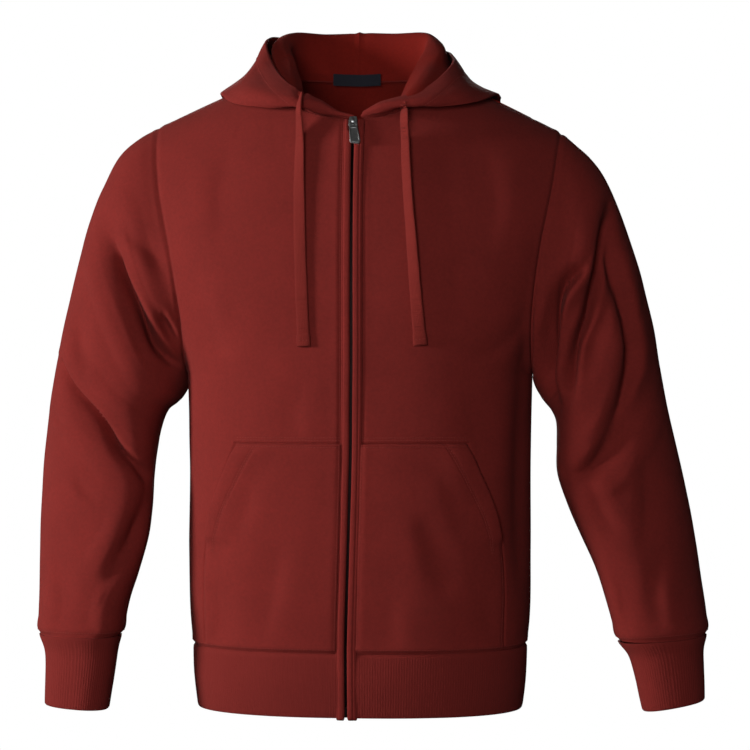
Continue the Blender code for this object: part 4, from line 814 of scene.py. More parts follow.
def body_y(x, z, back):
    """Depth of the body's outer face at places seen from the front or the back."""
    x, z = np.broadcast_arrays(np.asarray(x, float), np.asarray(z, float))
    depth = smooth_read(BODY_TABLE, z, 3 if back else 2)
    edge = side_x(z)
    power = BACK_CLOSE if back else FRONT_CLOSE
    middle = (ARMPIT_Z + tip_z(x)) / 2
    half = (tip_z(x) - ARMPIT_Z) / 2
    height = np.clip((z - middle) / half, -1.0, 0.985)
    reach = (ARM_BACK if back else ARM_FRONT) * np.sqrt(1.0 - height * height)
    edge_z = middle + half * height
    room = depth * closing(np.copysign(armhole_x(edge_z), x), edge_z, power)
    share = np.minimum(reach / np.maximum(room, 1e-6), 0.93)
    width = np.where(z > ARMPIT_Z, edge / (1.0 - share ** SECTION) ** (1.0 / SECTION), edge)
    across = np.maximum(1.0 - (np.abs(x) / width) ** SECTION, 0.0)
    y = depth * across ** (1.0 / SECTION) * closing(x, z, power)
    return y if back else -y


def column_fraction(u, z, top):
    """How far column u lies between the middle (0) and the side (1), at height z."""
    pocket = smooth_read(POCKET_TABLE, z) / side_x(np.minimum(z, ARMPIT_Z))
    start = np.arcsin(pocket ** (SECTION / 2))
    turn = start + (math.pi / 2 - start) * (u - POCKET_COLUMNS) / (PANEL_COLUMNS - POCKET_COLUMNS)
    low = np.where(u <= POCKET_COLUMNS, pocket * u / POCKET_COLUMNS,
                   np.sin(np.maximum(turn, 0.0)) ** (2 / SECTION))
    neck = NECK_SIDE_X / SHOULDER_X
    high = np.where(u <= NECK_COLUMNS, neck * np.sin(math.pi / 2 * np.minimum(u / NECK_COLUMNS, 1.0)),
                    neck + (1 - neck) * (u - NECK_COLUMNS) / (PANEL_COLUMNS - NECK_COLUMNS))
    return low + (high - low) * top


def row_heights(side):
    """Heights of the fine rows at the side, and how many lie below the armhole."""
    rows = np.array(BODY_ROWS)
    body = np.interp(np.arange((len(rows) - 1) * BODY_FINE + 1) / BODY_FINE, np.arange(len(rows)), rows)
    middle = (ARMPIT_Z + tip_z(side)) / 2
    half = (tip_z(side) - ARMPIT_Z) / 2
    turns = math.pi * np.arange(1, ARM_STEPS * ARM_FINE + 1) / (ARM_STEPS * ARM_FINE)
    return np.concatenate([body, middle - half * np.cos(turns)]), len(body) - 1


def body_grid(side, back, heights, columns):
    """Outer points of one half of the body, from the middle to the side, bottom to top."""
    z_side = heights[:, None]
    u = columns[None, :]
    above = np.maximum(z_side - ARMPIT_Z, 0.0) / (tip_z(side) - ARMPIT_Z)
    edge = 0.0 if back else FRONT_EDGE + side * zip_x(z_side)
    wide = side_x(z_side)
    x = column_fraction(u, z_side, above) * wide
    x = x + edge * (1.0 - x / wide)
    neck_turn = math.pi / 2 * np.minimum(u / NECK_COLUMNS, 1.0)
    x_neck = NECK_SIDE_X * np.sin(neck_turn)
    x_neck = x_neck + edge * (1.0 - x_neck / NECK_SIDE_X)
    x_shoulder = column_fraction(u, 0.0, 1.0) * SHOULDER_X
    middle_z = NECK_BACK_Z if back else NECK_FRONT_Z
    neck_z = middle_z + (shoulder_z(side * NECK_SIDE_X) - middle_z) * (1 - np.cos(neck_turn))
    in_neck = u <= NECK_COLUMNS
    top = np.where(in_neck, neck_z, shoulder_z(side * x_shoulder))
    z = np.where(above == 0, z_side, ARMPIT_Z + (top - ARMPIT_Z) * above)
    at_top = above > 0.9999
    x = np.where(at_top, np.where(in_neck, x_neck, x_shoulder), x)
    y = body_y(side * x, z, back)
    y = np.where(at_top & (u >= NECK_COLUMNS), 0.0, y)
    y = np.where((u == PANEL_COLUMNS) & (above == 0), 0.0, y)
    return together(x, y, z)


# ---------------------------------------------------------------- folds and seams
def path_distance(points, path, samples=48):
    """Signed distance in x and z from a smooth path, and how far along it (0 to 1) the place is."""
    line = through(np.asarray(path, float), np.linspace(0, len(path) - 1, samples))
    flat = points[..., [0, 2]]
    best = np.full(flat.shape[:-1], 1e9)
    along = np.zeros_like(best)
    signed = np.zeros_like(best)
    for k in range(samples - 1):
        run = line[k + 1] - line[k]
        away = flat - line[k]
        t = np.clip(away @ run / (run @ run), 0.0, 1.0)
        gap = away - t[..., None] * run
        distance = np.hypot(gap[..., 0], gap[..., 1])
        nearer = distance < best
        best = np.where(nearer, distance, best)
        along = np.where(nearer, (k + t) / (samples - 1), along)
        cross = run[0] * gap[..., 1] - run[1] * gap[..., 0]
        signed = np.where(nearer, np.copysign(distance, cross), signed)
    return signed, along


def pressed(points, normals, folds):
    """How far the drape folds press each point in, as the solids have them."""
    push = np.zeros(points.shape[:-1])
    for path, width, depth, side in folds:
        facing = np.clip(normals[..., 1] * side * 1.6, 0.0, 1.0)
        signed, along = path_distance(points, path)
        q = np.abs(signed) / width
        ends = 0.35 + 0.65 * np.minimum(np.minimum(along / 0.25, (1 - along) / 0.25), 1.0)
        ridge = -RIDGE * np.sin(math.pi * (np.clip(q, 1, 2) - 1))
        push += depth * facing * ends * np.where(q < 1, (1 - np.clip(q, 0, 1) ** 2) ** 2, ridge)
    return push


def creased(points, normals, creases):
    """How far smaller creases press each point in; each is steep towards its ridge, soft away from it."""
    push = np.zeros(points.shape[:-1])
    for path, width, depth, ridge, side in creases:
        facing = smoothstep(0.0, 0.5, normals[..., 1] * side)
        signed, along = path_distance(points, path)
        ends = np.sin(math.pi * np.clip(along, 0.02, 0.98)) ** 0.7
        away = signed * math.copysign(1.0, ridge)
        shape = hump(away, np.where(away > 0, CREASE_STEEP, CREASE_SOFT) * width) * depth
        push += facing * ends * (shape - abs(ridge) * hump(away - 1.6 * width, width))
    return push


def seam_dip(distance, groove):
    """A groove along a seam, with the turned-in allowance as a low ridge beside it."""
    depth, width = groove
    height, spread = ALLOWANCE
    return depth * hump(distance, width) - height * hump(distance - ALLOWANCE_AT, spread)


def soft_form(points, piece, side=0):
    """Slight unevenness of relaxed cloth, unlike on either side."""
    size, height, seed = UNEVEN[piece]
    seed += side
    return height * (0.65 * noise(points, size, seed) + 0.35 * noise(points, size * 0.47, seed + 1))


# ---------------------------------------------------------------- body panels
def fine_rows(side):
    """Row heights at the side, closer together at the hem seam and at the pocket's top."""
    heights, first = row_heights(side)
    near = np.array((0.0006, 0.0013, 0.0022, 0.0032, 0.0042, 0.0050, 0.0058, 0.0070, 0.0078, 0.0088))
    extra = [HEM_SEAM_Z + 0.0002 + near, POCKET_TOP_Z + near, POCKET_TOP_Z - near]
    body = in_order([heights[:first + 1], *extra], 6)
    body = body[(body >= heights[0]) & (body <= ARMPIT_Z)]
    return np.concatenate([body, heights[first + 1:]]), len(body) - 1


def fine_columns():
    base = np.arange(PANEL_COLUMNS * COLUMN_FINE + 1) / COLUMN_FINE
    near = np.array((0.03, 0.07, 0.12, 0.18, 0.26))
    return in_order([base, near, POCKET_COLUMNS + near, POCKET_COLUMNS - near, PANEL_COLUMNS - near], 6)


def body_half(side):
    """Front and back grids of one side with their outward normals, in positive x."""
    rows, first = fine_rows(side)
    columns = fine_columns()
    data = dict(rows=rows, columns=columns, first=first)
    for back, key in ((False, "front"), (True, "back")):
        grid = body_grid(side, back, rows, columns)
        normal = grid_normals(grid) * (-1 if back else 1)
        normal[:, 0, 0] = 0.0
        normal[:, 0] = unit(normal[:, 0])
        data[key] = grid
        data[key + "_out"] = normal
    side_seam, shoulder_seam = (slice(first + 1), -1), (-1, columns >= NECK_COLUMNS)
    for seam in (side_seam, shoulder_seam):
        shared = unit(data["front_out"][seam] + data["back_out"][seam])
        data["front_out"][seam] = shared
        data["back_out"][seam] = shared
    return data


def pocket_nip(grid, across, up, columns):
    """The panel is drawn in just outside a pocket's edges, and by the two needle lines above it."""
    edge = nearest(columns, POCKET_COLUMNS)
    beside = across - across[:, edge:edge + 1]
    above = up - up[nearest(grid[:, 0, 2], POCKET_TOP_Z)]
    over = smoothstep(0.006, -0.002, beside)
    nip = POCKET_NIP * hump(beside - 0.0012, 0.0018) * smoothstep(0.004, -0.002, above)
    nip += 1.2 * POCKET_NIP * hump(above - 0.0007, 0.0009) * over
    for rise in POCKET_TWIN:
        nip += 0.00035 * hump(above - rise, 0.0011) * over
    return nip


def panel_relief(grid, side, panel, columns, creases, normals):
    """How far each point of a panel is pressed in: seams, creases and unevenness."""
    across = lengths_along(grid, 1)
    up = lengths_along(grid, 0)
    to_side = across[:, -1:] - across
    to_top = up[-1:] - up
    clear = smoothstep(0.0, 0.008, up)  # keeps the hem seam closed where other seams meet it
    push = seam_dip(to_side, ARMHOLE_DIP[side]) * clear
    push = push + seam_dip(up, HEM_DIP) + seam_dip(to_top, SHOULDER_DIP)
    if panel == "front":
        push += seam_dip(across, ZIP_DIP) + pocket_nip(grid, across, up, columns) * clear
    quiet = smoothstep(0.0, 0.03, to_side) * smoothstep(0.0, 0.03, to_top) * smoothstep(0.0, 0.02, up)
    push += soft_form(grid, panel, side) * quiet
    push += creased(grid, normals, creases) * smoothstep(0.0, 0.02, to_side) * smoothstep(0.0, 0.01, up)
    return push


def make_body(cloth, lining_painted_shade):
    """Fronts and back; returns what the pockets, sleeves and hood are built on."""
    sides = {}
    inside = {}
    panels = (("front", FRONT_CREASES), ("back", BACK_CREASES))
    for side, label in SIDES:
        data = body_half(side)
        for panel, creases in panels:
            grid, normal = data[panel], data[panel + "_out"]
            relief = panel_relief(turned(grid, side), side, panel, data["columns"], creases,
                                  turned(normal, side))
            data[panel + "_outer"] = grid - normal * relief[..., None]
            inside[panel] = data[panel + "_outer"] - normal * SHOWN_CLOTH
        inside[side] = turned(inside["back"], side)
        side_seam = (slice(data["first"] + 1), -1)
        shared = (data["front_outer"][side_seam] + data["back_outer"][side_seam]) / 2
        data["front_outer"][side_seam] = shared
        data["back_outer"][side_seam] = shared
        name = "front_" + label
        piece = shell(name + "_cloth", turned(data["front_outer"], side), turned(inside["front"], side),
                      grid_uv(data["front"]), cloth, "fleece", lining_painted_shade=lining_painted_shade)
        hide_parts(name)
        sides[side] = data
    outer = np.concatenate([turned(sides[-1]["back_outer"], -1)[:, :0:-1], sides[1]["back_outer"]], axis=1)
    inner = np.concatenate([inside[-1][:, :0:-1], inside[1]], axis=1)
    piece = shell("back_cloth", outer, inner, grid_uv(outer), cloth, "fleece", lining_painted_shade=lining_painted_shade)
    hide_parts("back")
    return sides


# ---------------------------------------------------------------- pockets
def pocket_steps():
    """Distances from a pocket's side edge: close at the edge and at its stitch lines, wider between."""
    fine = np.array((-0.0016, -0.0008, 0.0, 0.0008, 0.0016))
    lines = [place + fine for place in (POCKET_SIDE_LINE, *POCKET_OPEN_LINES)]
    edge = (0.0, 0.0004, 0.0010, 0.0018, 0.0030, 0.0045, 0.0070)
    return in_order([edge, *lines, np.arange(0.009, 0.034, 0.0025)])


def pocket_places(data, rows, count):
    """Where each point of a pocket lies across the front, and how far from the opening's own line."""
    steps = pocket_steps()[::-1]
    wide = lengths_along(data["front_outer"][:rows, :count], 1)
    whole = wide[:, -1:]
    height = data["front_outer"][:rows, :1, 2]
    splay = POCKET_SPLAY * np.clip((height - POCKET_OPEN_LOW) / (POCKET_TOP_Z - POCKET_OPEN_LOW), 0.0, 1.0)
    shifted = steps + splay * np.clip((steps - 0.0045) / 0.0080, 0.0, 1.0)
    inside = np.linspace(0.0, 1.0, POCKET_INSIDE)[:-1] * (whole - shifted[:, :1])
    at = np.concatenate([inside, whole - shifted], axis=1)
    line = np.concatenate([whole - inside - splay, np.tile(steps, (rows, 1))], axis=1)
    return wide, at, line


def make_pocket(side, label, data, cloth, lining_painted_shade):
    """A pocket made from the front's own points, moved out; its hand opening stands a little open."""
    rows = nearest(data["rows"], POCKET_TOP_Z) + 1
    count = nearest(data["columns"], POCKET_COLUMNS) + 1
    wide, at, line = pocket_places(data, rows, count)
    base, out = (np.array([read_points(at[row], wide[row], data[key][row, :count]) for row in range(rows)])
                 for key in ("front_outer", "front_out"))
    out = unit(out)
    up = lengths_along(base, 0)
    to_side = wide[:, -1:] - at
    to_top = up[-1:] - up
    slant = smoothstep(*POCKET_SLANT, base[..., 2])
    sewn = np.maximum(hump(to_side, 0.0035) * (1 - slant), 0.35 * hump(to_top, 0.0022))
    sewn = np.maximum(sewn, hump(up, 0.0040))
    lift = LAP + POCKET_GAP * slant * bump(to_side, 0.055) * smoothstep(0.0, 0.018, to_top)
    groove = sum(hump(line - place, 0.0011) for place in POCKET_OPEN_LINES) * slant
    groove = groove + hump(to_side - POCKET_SIDE_LINE, 0.0012) * (1 - slant)
    groove = groove + hump(to_top - POCKET_TOP_LINE, 0.0012)
    first_line = POCKET_OPEN_LINES[0]
    pad = POCKET_WELT * bump(line - first_line / 2, first_line * 0.55) * slant
    shown = turned(base, side)
    height = lift + SHOWN_CLOTH * (1 - 0.45 * sewn)
    height += pad - POCKET_GROOVE * np.minimum(groove, 1.0)
    height += soft_form(shown, "pocket", side) * (1 - sewn)
    height -= creased(shown, turned(out, side), POCKET_CREASES) * (1 - sewn)
    height *= 1 - 0.5 * hump(to_side, 0.0007)
    outer = base + out * height[..., None]
    inner = base + out * np.minimum(lift, height - POCKET_LEAST)[..., None]
    name = "pocket_" + label
    piece = shell(name + "_cloth", turned(outer, side), turned(inner, side), grid_uv(base), cloth, "fleece",
                  lining_painted_shade=lining_painted_shade)
    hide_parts(name)
    data.update(pocket=outer, pocket_out=out, pocket_side=to_side, pocket_line=line, pocket_top=to_top,
                pocket_up=up)


# ---------------------------------------------------------------- sleeves
def section_rings(table, turns):
    """Rings of points for a sleeve's or cuff's table, each a rounded section between two places."""
    rows = np.array(table, float)[:, None, :]
    power = 2 / SLEEVE_SECTION
    inwards = signed_power(np.cos(turns), power)
    forwards = signed_power(np.sin(turns), power)
    across = 0.5 - 0.5 * inwards
    x = rows[..., 2] + (rows[..., 0] - rows[..., 2]) * across
    z = rows[..., 3] + (rows[..., 1] - rows[..., 3]) * across
    y = rows[..., 4] - rows[..., 5] * forwards - rows[..., 6] * inwards
    return together(x, y, z)


def outward_normals(rings):
    normals = grid_normals(rings, closed=True)
    centre = rings.mean(axis=1, keepdims=True)
    return normals if np.sum(normals * (rings - centre)) > 0 else -normals


def armhole_loop(front, back, first):
    """The closed line of points round an armhole, up the front and down the back."""
    return np.concatenate([front[first:, -1], back[first:, -1][-2:0:-1]])


def make_sleeve(side, label, table, folds, creases, data, cloth, lining_painted_shade):
    loop = armhole_loop(data["front_outer"], data["back_outer"], data["first"])
    seam = armhole_loop(data["front"], data["back"], data["first"])
    turns = even_round(len(loop))
    coarse = np.concatenate([seam[None], section_rings(table, turns)])
    last = len(coarse) - 1
    near = np.array((0.03, 0.07, 0.12, 0.2, 0.3, 0.42))
    places = in_order([np.arange(last * SLEEVE_FINE + 1) / SLEEVE_FINE, near, last - near])
    rings = through(coarse, places)
    normals = outward_normals(rings)
    along = lengths_along(rings, 0)
    to_end = along[-1:] - along
    fade = np.minimum(np.minimum(places / 2.0, (last - places) / 2.0), 1.0)[:, None]
    push = pressed(rings, normals, folds) * fade
    push += creased(rings, normals, creases) * smoothstep(0.0, 0.03, along) * smoothstep(0.0, 0.006, to_end)
    push += soft_form(turned(rings, side), "sleeve", side) * smoothstep(0.0, 0.03, along)
    push += seam_dip(along, ARMHOLE_DIP[side]) * np.where(along > 0, 1.0, 0.0)
    push += SLEEVE_END_ROLL * hump(to_end, 0.0042) - SLEEVE_END_DIP * bump(to_end - 0.010, 0.012)
    push += seam_dip(np.linalg.norm(rings - rings[:, :1], axis=2), UNDERARM_DIP)
    outer = rings - normals * push[..., None]
    outer[0] = loop
    inner = outer - normals * SHOWN_CLOTH
    name = "sleeve_" + label
    uv = together(np.arange(len(turns))[None, :] * 0.0038, along)
    piece = shell(name + "_cloth", turned(outer, side), turned(inner, side), uv, cloth, "fleece",
                  closed=True, lining_painted_shade=lining_painted_shade)
    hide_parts(name)
    data.update(sleeve=outer, sleeve_out=normals, sleeve_to_end=to_end)


# ---------------------------------------------------------------- rib bands
def rib_wave(count, columns):
    """Height of rounded ribs, 0 to 1, over the columns round a band."""
    return np.abs(np.cos(math.pi * count * np.arange(columns) / columns)) ** 0.7


def rib_height(along, wave, swell):
    """Height of a band: ribs that end at its edges, and a slight swell between them."""
    whole = along[-1:]
    raised = RIB_RAISE * smoothstep(0.0, 0.004, along) * smoothstep(0.0, 0.0012, whole - along)
    return raised * (wave - RIB_LEVEL) + swell * np.sin(math.pi * np.clip(along / whole, 0, 1))


def rib_band(name, side, rings, out, height, uv, rib, closed):
    outer = rings + out * height[..., None]
    inner = rings + out * (np.minimum(height, 0.0) - SHOWN_CLOTH)[..., None]
    return shell(name + "_knit", turned(outer, side), turned(inner, side), uv, rib, "rib_knit", closed)


def make_cuff(side, label, table, rib):
    around = math.pi * (table[1][0] - table[1][2] + 2 * table[1][5]) / 2
    count = round(around / RIB_SHOWN)
    columns = count * RIB_SAMPLES
    places = np.linspace(0.0, 2.0, CUFF_ROWS)
    places = np.unique(np.concatenate([places, 2 - np.array((0.006, 0.02, 0.04)), (0.02, 0.05)]))
    rings = through(section_rings(table, even_round(columns)), places)
    out = unit(outward_normals(rings) * np.array((1.0, 1.0, 0.15)))
    along = lengths_along(rings, 0)
    height = rib_height(along, rib_wave(count, columns), CUFF_RIB)
    height += soft_form(turned(rings, side), "cuff", side)
    height -= CUFF_END_DIP * hump(along[-1:] - along, 0.0009)
    uv = together((around * np.arange(columns) / columns)[None, :], along)
    name = "cuff_" + label
    piece = rib_band(name, side, rings, out, height, uv, rib, True)
    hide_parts(name)


def level_section(z, turns):
    """Points round the body at one height, from the middle of the front."""
    sine, cosine = np.sin(turns), np.cos(turns)
    power = 2 / SECTION
    x = smooth_read(BODY_TABLE, z, 1) * signed_power(sine, power)
    depth = np.where(cosine > 0, smooth_read(BODY_TABLE, z, 2), smooth_read(BODY_TABLE, z, 3))
    return together(x, -depth * signed_power(cosine, power), z)


def even_turns(z, start_x, end_x, count):
    """Turns that are evenly spaced along a level section between two places at the front."""
    dense = np.linspace(0.0, 2 * math.pi, 6001)
    points = level_section(z, dense)
    start = int(np.argmax(points[:, 0] >= start_x))
    end = len(dense) - 1 - int(np.argmax(points[::-1, 0] <= end_x))
    dense, points = dense[start:end + 1], points[start:end + 1]
    length = run_lengths(points)
    return np.interp(np.linspace(0.0, length[-1], count), length, dense), length[-1]


def make_hem_rib(rib):
    middle_z = (HEM_SEAM_Z + HEM_Z) / 2
    start_x = float(zip_x(HEM_Z)) + FRONT_EDGE - RIB_UNDER
    end_x = float(zip_x(HEM_Z)) - FRONT_EDGE + RIB_UNDER
    _, around = even_turns(middle_z, start_x, end_x, 3)
    count = round(around / RIB_SHOWN)
    turns, _ = even_turns(middle_z, start_x, end_x, count * RIB_SAMPLES + 1)
    drops = np.concatenate([(0.0, 0.0012, 0.003), np.linspace(0.006, 0.060, HEM_ROWS),
                            (0.0660, 0.0685, 0.0693)])
    rings = np.array([level_section(z, turns) for z in HEM_SEAM_Z - SEAM / 2 - drops])
    out = unit(np.cross(np.gradient(rings, axis=1), np.array((0.0, 0.0, 1.0))))
    down = drops[:, None]
    wave = rib_wave(count, len(turns) - 1)
    height = rib_height(down, np.append(wave, wave[0]), HEM_RIB)
    height += soft_form(rings, "hem")
    height -= HEM_SEAM_DIP * hump(down, 0.002) + HEM_END_DIP * hump(drops[-1] - down, 0.0009)
    uv = together(np.linspace(0, around, len(turns))[None, :], down)
    piece = rib_band("hem_rib", 1, rings, out, height, uv, rib, False)
    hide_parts("hem_rib")


# ---------------------------------------------------------------- hood
def hood_middle(table, neck, neck_out, neck_places, stations, rows_at):
    """Middle surface of one hood half: profiles (columns) from the neck seam to the edge (rows)."""
    places = np.clip(through(column(table, 0), stations), 0.0, 2.0)
    controls = [read_points(places, neck_places, neck)]
    for k in range(1, len(table[0])):
        line = np.array([row[k] for row in table])
        line = np.concatenate([line, line[-2:-1] * (-1.0, 1.0, 1.0)])
        controls.append(through(line, stations))
    return through(np.array(controls), rows_at), unit(read_points(places, neck_places, neck_out))


def neck_line(data):
    """The neck seam from the front to the middle of the back, its outward directions and places."""
    columns = data["columns"]
    count = nearest(columns, NECK_COLUMNS) + 1

    def round_neck(front, back):
        return np.concatenate([front[:count], back[:count - 1][::-1]])

    line = round_neck(data["front"][-1], data["back"][-1])
    out = round_neck(data["front_out"][-1], data["back_out"][-1])
    up = round_neck(data["front"][-1] - data["front"][-2], data["back"][-1] - data["back"][-2])
    places = round_neck(columns, 2 * NECK_COLUMNS - columns) / NECK_COLUMNS
    return line - out * CLOTH / 2 + unit(up) * SEAM, out, places


def make_hood(side, label, table, data, cloth, lining_painted_shade):
    neck, neck_out, neck_places = neck_line(data)
    spans = len(table[0]) - 1
    near = np.array((0.04, 0.09, 0.15, 0.24))
    rows_at = in_order([np.arange(spans * HOOD_ROWS_FINE + 1) / HOOD_ROWS_FINE, near, spans - near])
    stations = np.linspace(0.0, len(table) - 1, HOOD_STATIONS * HOOD_FINE + 1)
    middle, seam_out = hood_middle(table, neck, neck_out, neck_places, stations, rows_at)
    # the front ends taper to the neck seam and reach towards the zip
    from_end = lengths_along(middle, 1)
    middle = middle[:1] + (middle - middle[:1]) * smoothstep(-0.010, HOOD_TIP, from_end)[..., None]
    middle[..., 0] -= HOOD_REACH[side] * (1 - smoothstep(0.0, 0.045, from_end))
    normals = grid_normals(middle)
    behind = len(stations) * 3 // 4
    if np.sum(normals[2, behind:] * seam_out[behind:]) < 0:
        normals = -normals
    normals[0] = unit(normals[0] + seam_out)
    flat = normals[:, -1].copy()
    flat[:, 0] = 0.0
    normals[:, -1] = unit(flat)
    along = lengths_along(middle, 0)
    to_edge = along[-1:] - along
    across = lengths_along(middle, 1)
    to_centre = across[:, -1:] - across
    shown = turned(middle, side)
    quiet = smoothstep(0.0, 0.02, along) * smoothstep(0.0, 0.02, to_centre)
    push = soft_form(shown, "hood", side) * quiet
    push += creased(shown, turned(normals, side), HOOD_CREASES) * quiet
    push += seam_dip(to_centre, HOOD_DIP)
    middle = middle - normals * push[..., None]
    channel = smoothstep(HOOD_CHANNEL + 0.002, HOOD_CHANNEL - 0.003, to_edge)
    half = (SHOWN_CLOTH / 2 + CHANNEL_PUFF * channel) * rounding(to_edge / 0.0016, 0.02)
    half -= CHANNEL_DIP * hump(to_edge - HOOD_CHANNEL, 0.0016)
    half += CHANNEL_CORD * hump(to_edge - HOOD_CHANNEL * 0.45, 0.007)
    outer = middle + normals * half[..., None]
    inner = middle - normals * half[..., None]
    for grid in (outer, inner):
        grid[:, -1, 0] = 0.00005
        grid[..., 0] += side * HOOD_DRIFT * hump(grid[..., 0], 0.055) * smoothstep(0.0, 0.009, along)
    name = "hood_" + label
    piece = shell(name + "_cloth", turned(outer, side), turned(inner, side), together(across, along), cloth,
                  "fleece", lining_painted_shade=lining_painted_shade)
    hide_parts(name)
    data.update(hood=outer, hood_out=normals, hood_to_edge=to_edge, hood_inner=inner)


# ---------------------------------------------------------------- zip and plackets
def zip_frame(z):
    """Points on the zip's line at the body's outer face, with their outward and upward directions."""
    z = np.asarray(z, float)
    step = 0.004
    rise = body_y(0.0, z + step, False) - body_y(0.0, z - step, False)
    along = unit(together(0.0, rise, 2 * step))
    out = together(0.0, -along[..., 2], along[..., 1])
    return together(zip_x(z), body_y(0.0, z, False), z), out, np.cross(out, ACROSS) * -1.0


def make_placket(side, label, edge, groove_at, cloth):
    """A soft pipe of folded cloth beside the zip."""
    turns = np.linspace(0.0, math.pi, 29)
    z = np.concatenate([np.linspace(PLACKET_END_Z, PLACKET_END_Z + 0.004, 6),
                        np.linspace(PLACKET_END_Z + 0.007, SPREAD_LOW_Z, 150),
                        np.linspace(SPREAD_LOW_Z + 0.0015, PLACKET_TOP_Z - 0.003, 12),
                        np.linspace(PLACKET_TOP_Z - 0.002, PLACKET_TOP_Z, 4)])
    here, out, _ = zip_frame(z)
    parted = smoothstep(SPREAD_LOW_Z, SPREAD_TOP_Z, z)
    inner = PLACKET_IN + (SLIDER_WIDTH / 2 + SPREAD_CLEAR - PLACKET_IN) * parted
    to_end = np.minimum((z - PLACKET_END_Z) / PIPE_LOW_END, (PLACKET_TOP_Z - z) / PIPE_TOP_END)
    end = rounding(to_end, 0.03)[:, None]
    wander = PIPE_WANDER * noise(together(z * 0, z * 0, z), 0.045, 81 + side)
    left = inner + wander * 0.6
    middle = ((left + edge) / 2)[:, None]
    half = ((edge - left) / 2)[:, None]
    proud = (PLACKET_PROUD + 0.9 * wander)[:, None]
    across = middle + half * -np.cos(turns) * (0.75 + 0.25 * end)
    across = across - PIPE_LIP * (np.sin(turns) ** 0.6 * np.maximum(np.cos(turns), 0.0)) * end
    rise = -PIPE_UNDER + (proud + PIPE_UNDER) * np.abs(np.sin(turns)) ** 0.55 * end
    rise = rise + (0.0003 * np.sin(2 * turns) - PIPE_GROOVE * hump(across - groove_at, 0.0007))
    here, out = here[:, None, :], out[:, None, :]
    top = here + side * across[..., None] * ACROSS + out * rise[..., None]
    low = (here + side * across[:, ::-1, None] * ACROSS - out * CLOTH)[:, ::6]
    rings = np.concatenate([top, low], axis=1)
    uv = together(np.arange(rings.shape[1]) * 0.001, (z - z[0])[:, None])
    name = "placket_" + label
    piece = make_piece(name + "_cloth", *ring_tube(rings), cloth, "fleece", uv)
    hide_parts(name)


def make_zip(metal, tape):
    """Meshed teeth in the gap, the pin and box at the bottom, and the tapes' finish."""
    parts = []
    low, high = HEM_Z + ZIP_START, SPREAD_TOP_Z - ZIP_STOP
    for k in range(int((high - low) / TOOTH_PITCH)):
        here, out, up = zip_frame(low + k * TOOTH_PITCH)
        side = 1 if k % 2 else -1
        for deep, shift, halves in TOOTH:
            centre = here - out * (CHAIN_FRONT + deep) + np.array((side * shift, 0.0, 0.0))
            parts.append(box_mesh(centre, (ACROSS, out, up), halves))
    here, out, up = zip_frame(HEM_Z + ZIP_BOX_UP)
    for deep, rise, halves in PIN_BOX:
        parts.append(box_mesh(here - out * deep + up * rise, (ACROSS, out, up), halves))
    piece = make_piece("zip_teeth", *joined(parts), metal, "zip_teeth", sharp=30)
    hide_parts("zip_chain")
    bevel(piece, BEVELS["teeth"], 1)
    here, out, _ = zip_frame(np.linspace(HEM_Z + TAPE_UP, high, 120))
    rings = np.stack([here + np.array((a * BACKING_HALF, 0.0, 0.0)) - out * (BACKING_DEEP + b * BACKING_THICK)
                      for a, b in SQUARE], axis=1)
    make_piece("zip_backing", *ring_tube(rings), tape, "zip_tape")
    for _, label in SIDES:
        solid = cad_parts["zip_tape_" + label]
        solid.data.materials.clear()
        solid.data.materials.append(tape)


# ---------------------------------------------------------------- slider and tab
def slider_frame():
    return zip_frame(SLIDER_TOP_Z - SLIDER_LENGTH / 2)


def into(place, points):
    """Points given across, out and up, placed in a frame."""
    here, out, up = place
    return [here + np.array((x, 0.0, 0.0)) + out * away + up * rise for x, away, rise in points]


def arch_rings():
    """The slider's arch as rings of points across, out and up."""
    turns = math.pi * np.linspace(0.0, 1.0, 17)
    arch = [(ARCH_REACH * math.cos(turn), ARCH_BASE + ARCH_RISE * math.sin(turn) ** 0.75) for turn in turns]
    rings = []
    for k, (rise, away) in enumerate(arch):
        before, after = arch[max(k - 1, 0)], arch[min(k + 1, len(arch) - 1)]
        along = np.array((after[0] - before[0], after[1] - before[1]))
        along /= np.linalg.norm(along)
        side = np.array((along[1], -along[0]))
        ring = []
        for a, b in SQUARE:
            up, out = np.array((rise, away)) + side * b * ARCH_THICK
            ring.append((a * ARCH_WIDE, out, up))
        rings.append(ring)
    return rings


def make_slider(metal):
    place = slider_frame()
    half, wide = SLIDER_LENGTH / 2, SLIDER_WIDTH / 2
    top_x, low_x = (wide * share for share in SLIDER_TAPER)
    body = rounded(((-wide, half - 0.001), (-top_x, half), (top_x, half), (wide, half - 0.001),
                    (low_x, -half), (-low_x, -half)), 0.0011)
    neck = rounded(((-0.0016, half - 0.0004), (0.0016, half - 0.0004), (0.0011, 0.0012), (-0.0011, 0.0012)),
                   0.0004)
    parts = [plate([(x * share, z * share) for x, z in body], low, high)
             for low, high, share in SLIDER_PLATES]
    parts.append(plate(neck, -0.0036, 0.0016))
    for sign in (-1, 1):
        flange = (sign * (wide * 0.80), -0.0002, -0.0008)
        parts.append(box_mesh(flange, np.eye(3), (0.00045, 0.0019, half * 0.62)))
    parts = [(into(place, points), faces) for points, faces in parts]
    parts.append(ring_tube(np.array([into(place, ring) for ring in arch_rings()])))
    piece = make_piece("slider_body", *joined(parts), metal, "zip_metal", sharp=35)
    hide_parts("slider")
    bevel(piece, BEVELS["slider"], 2)


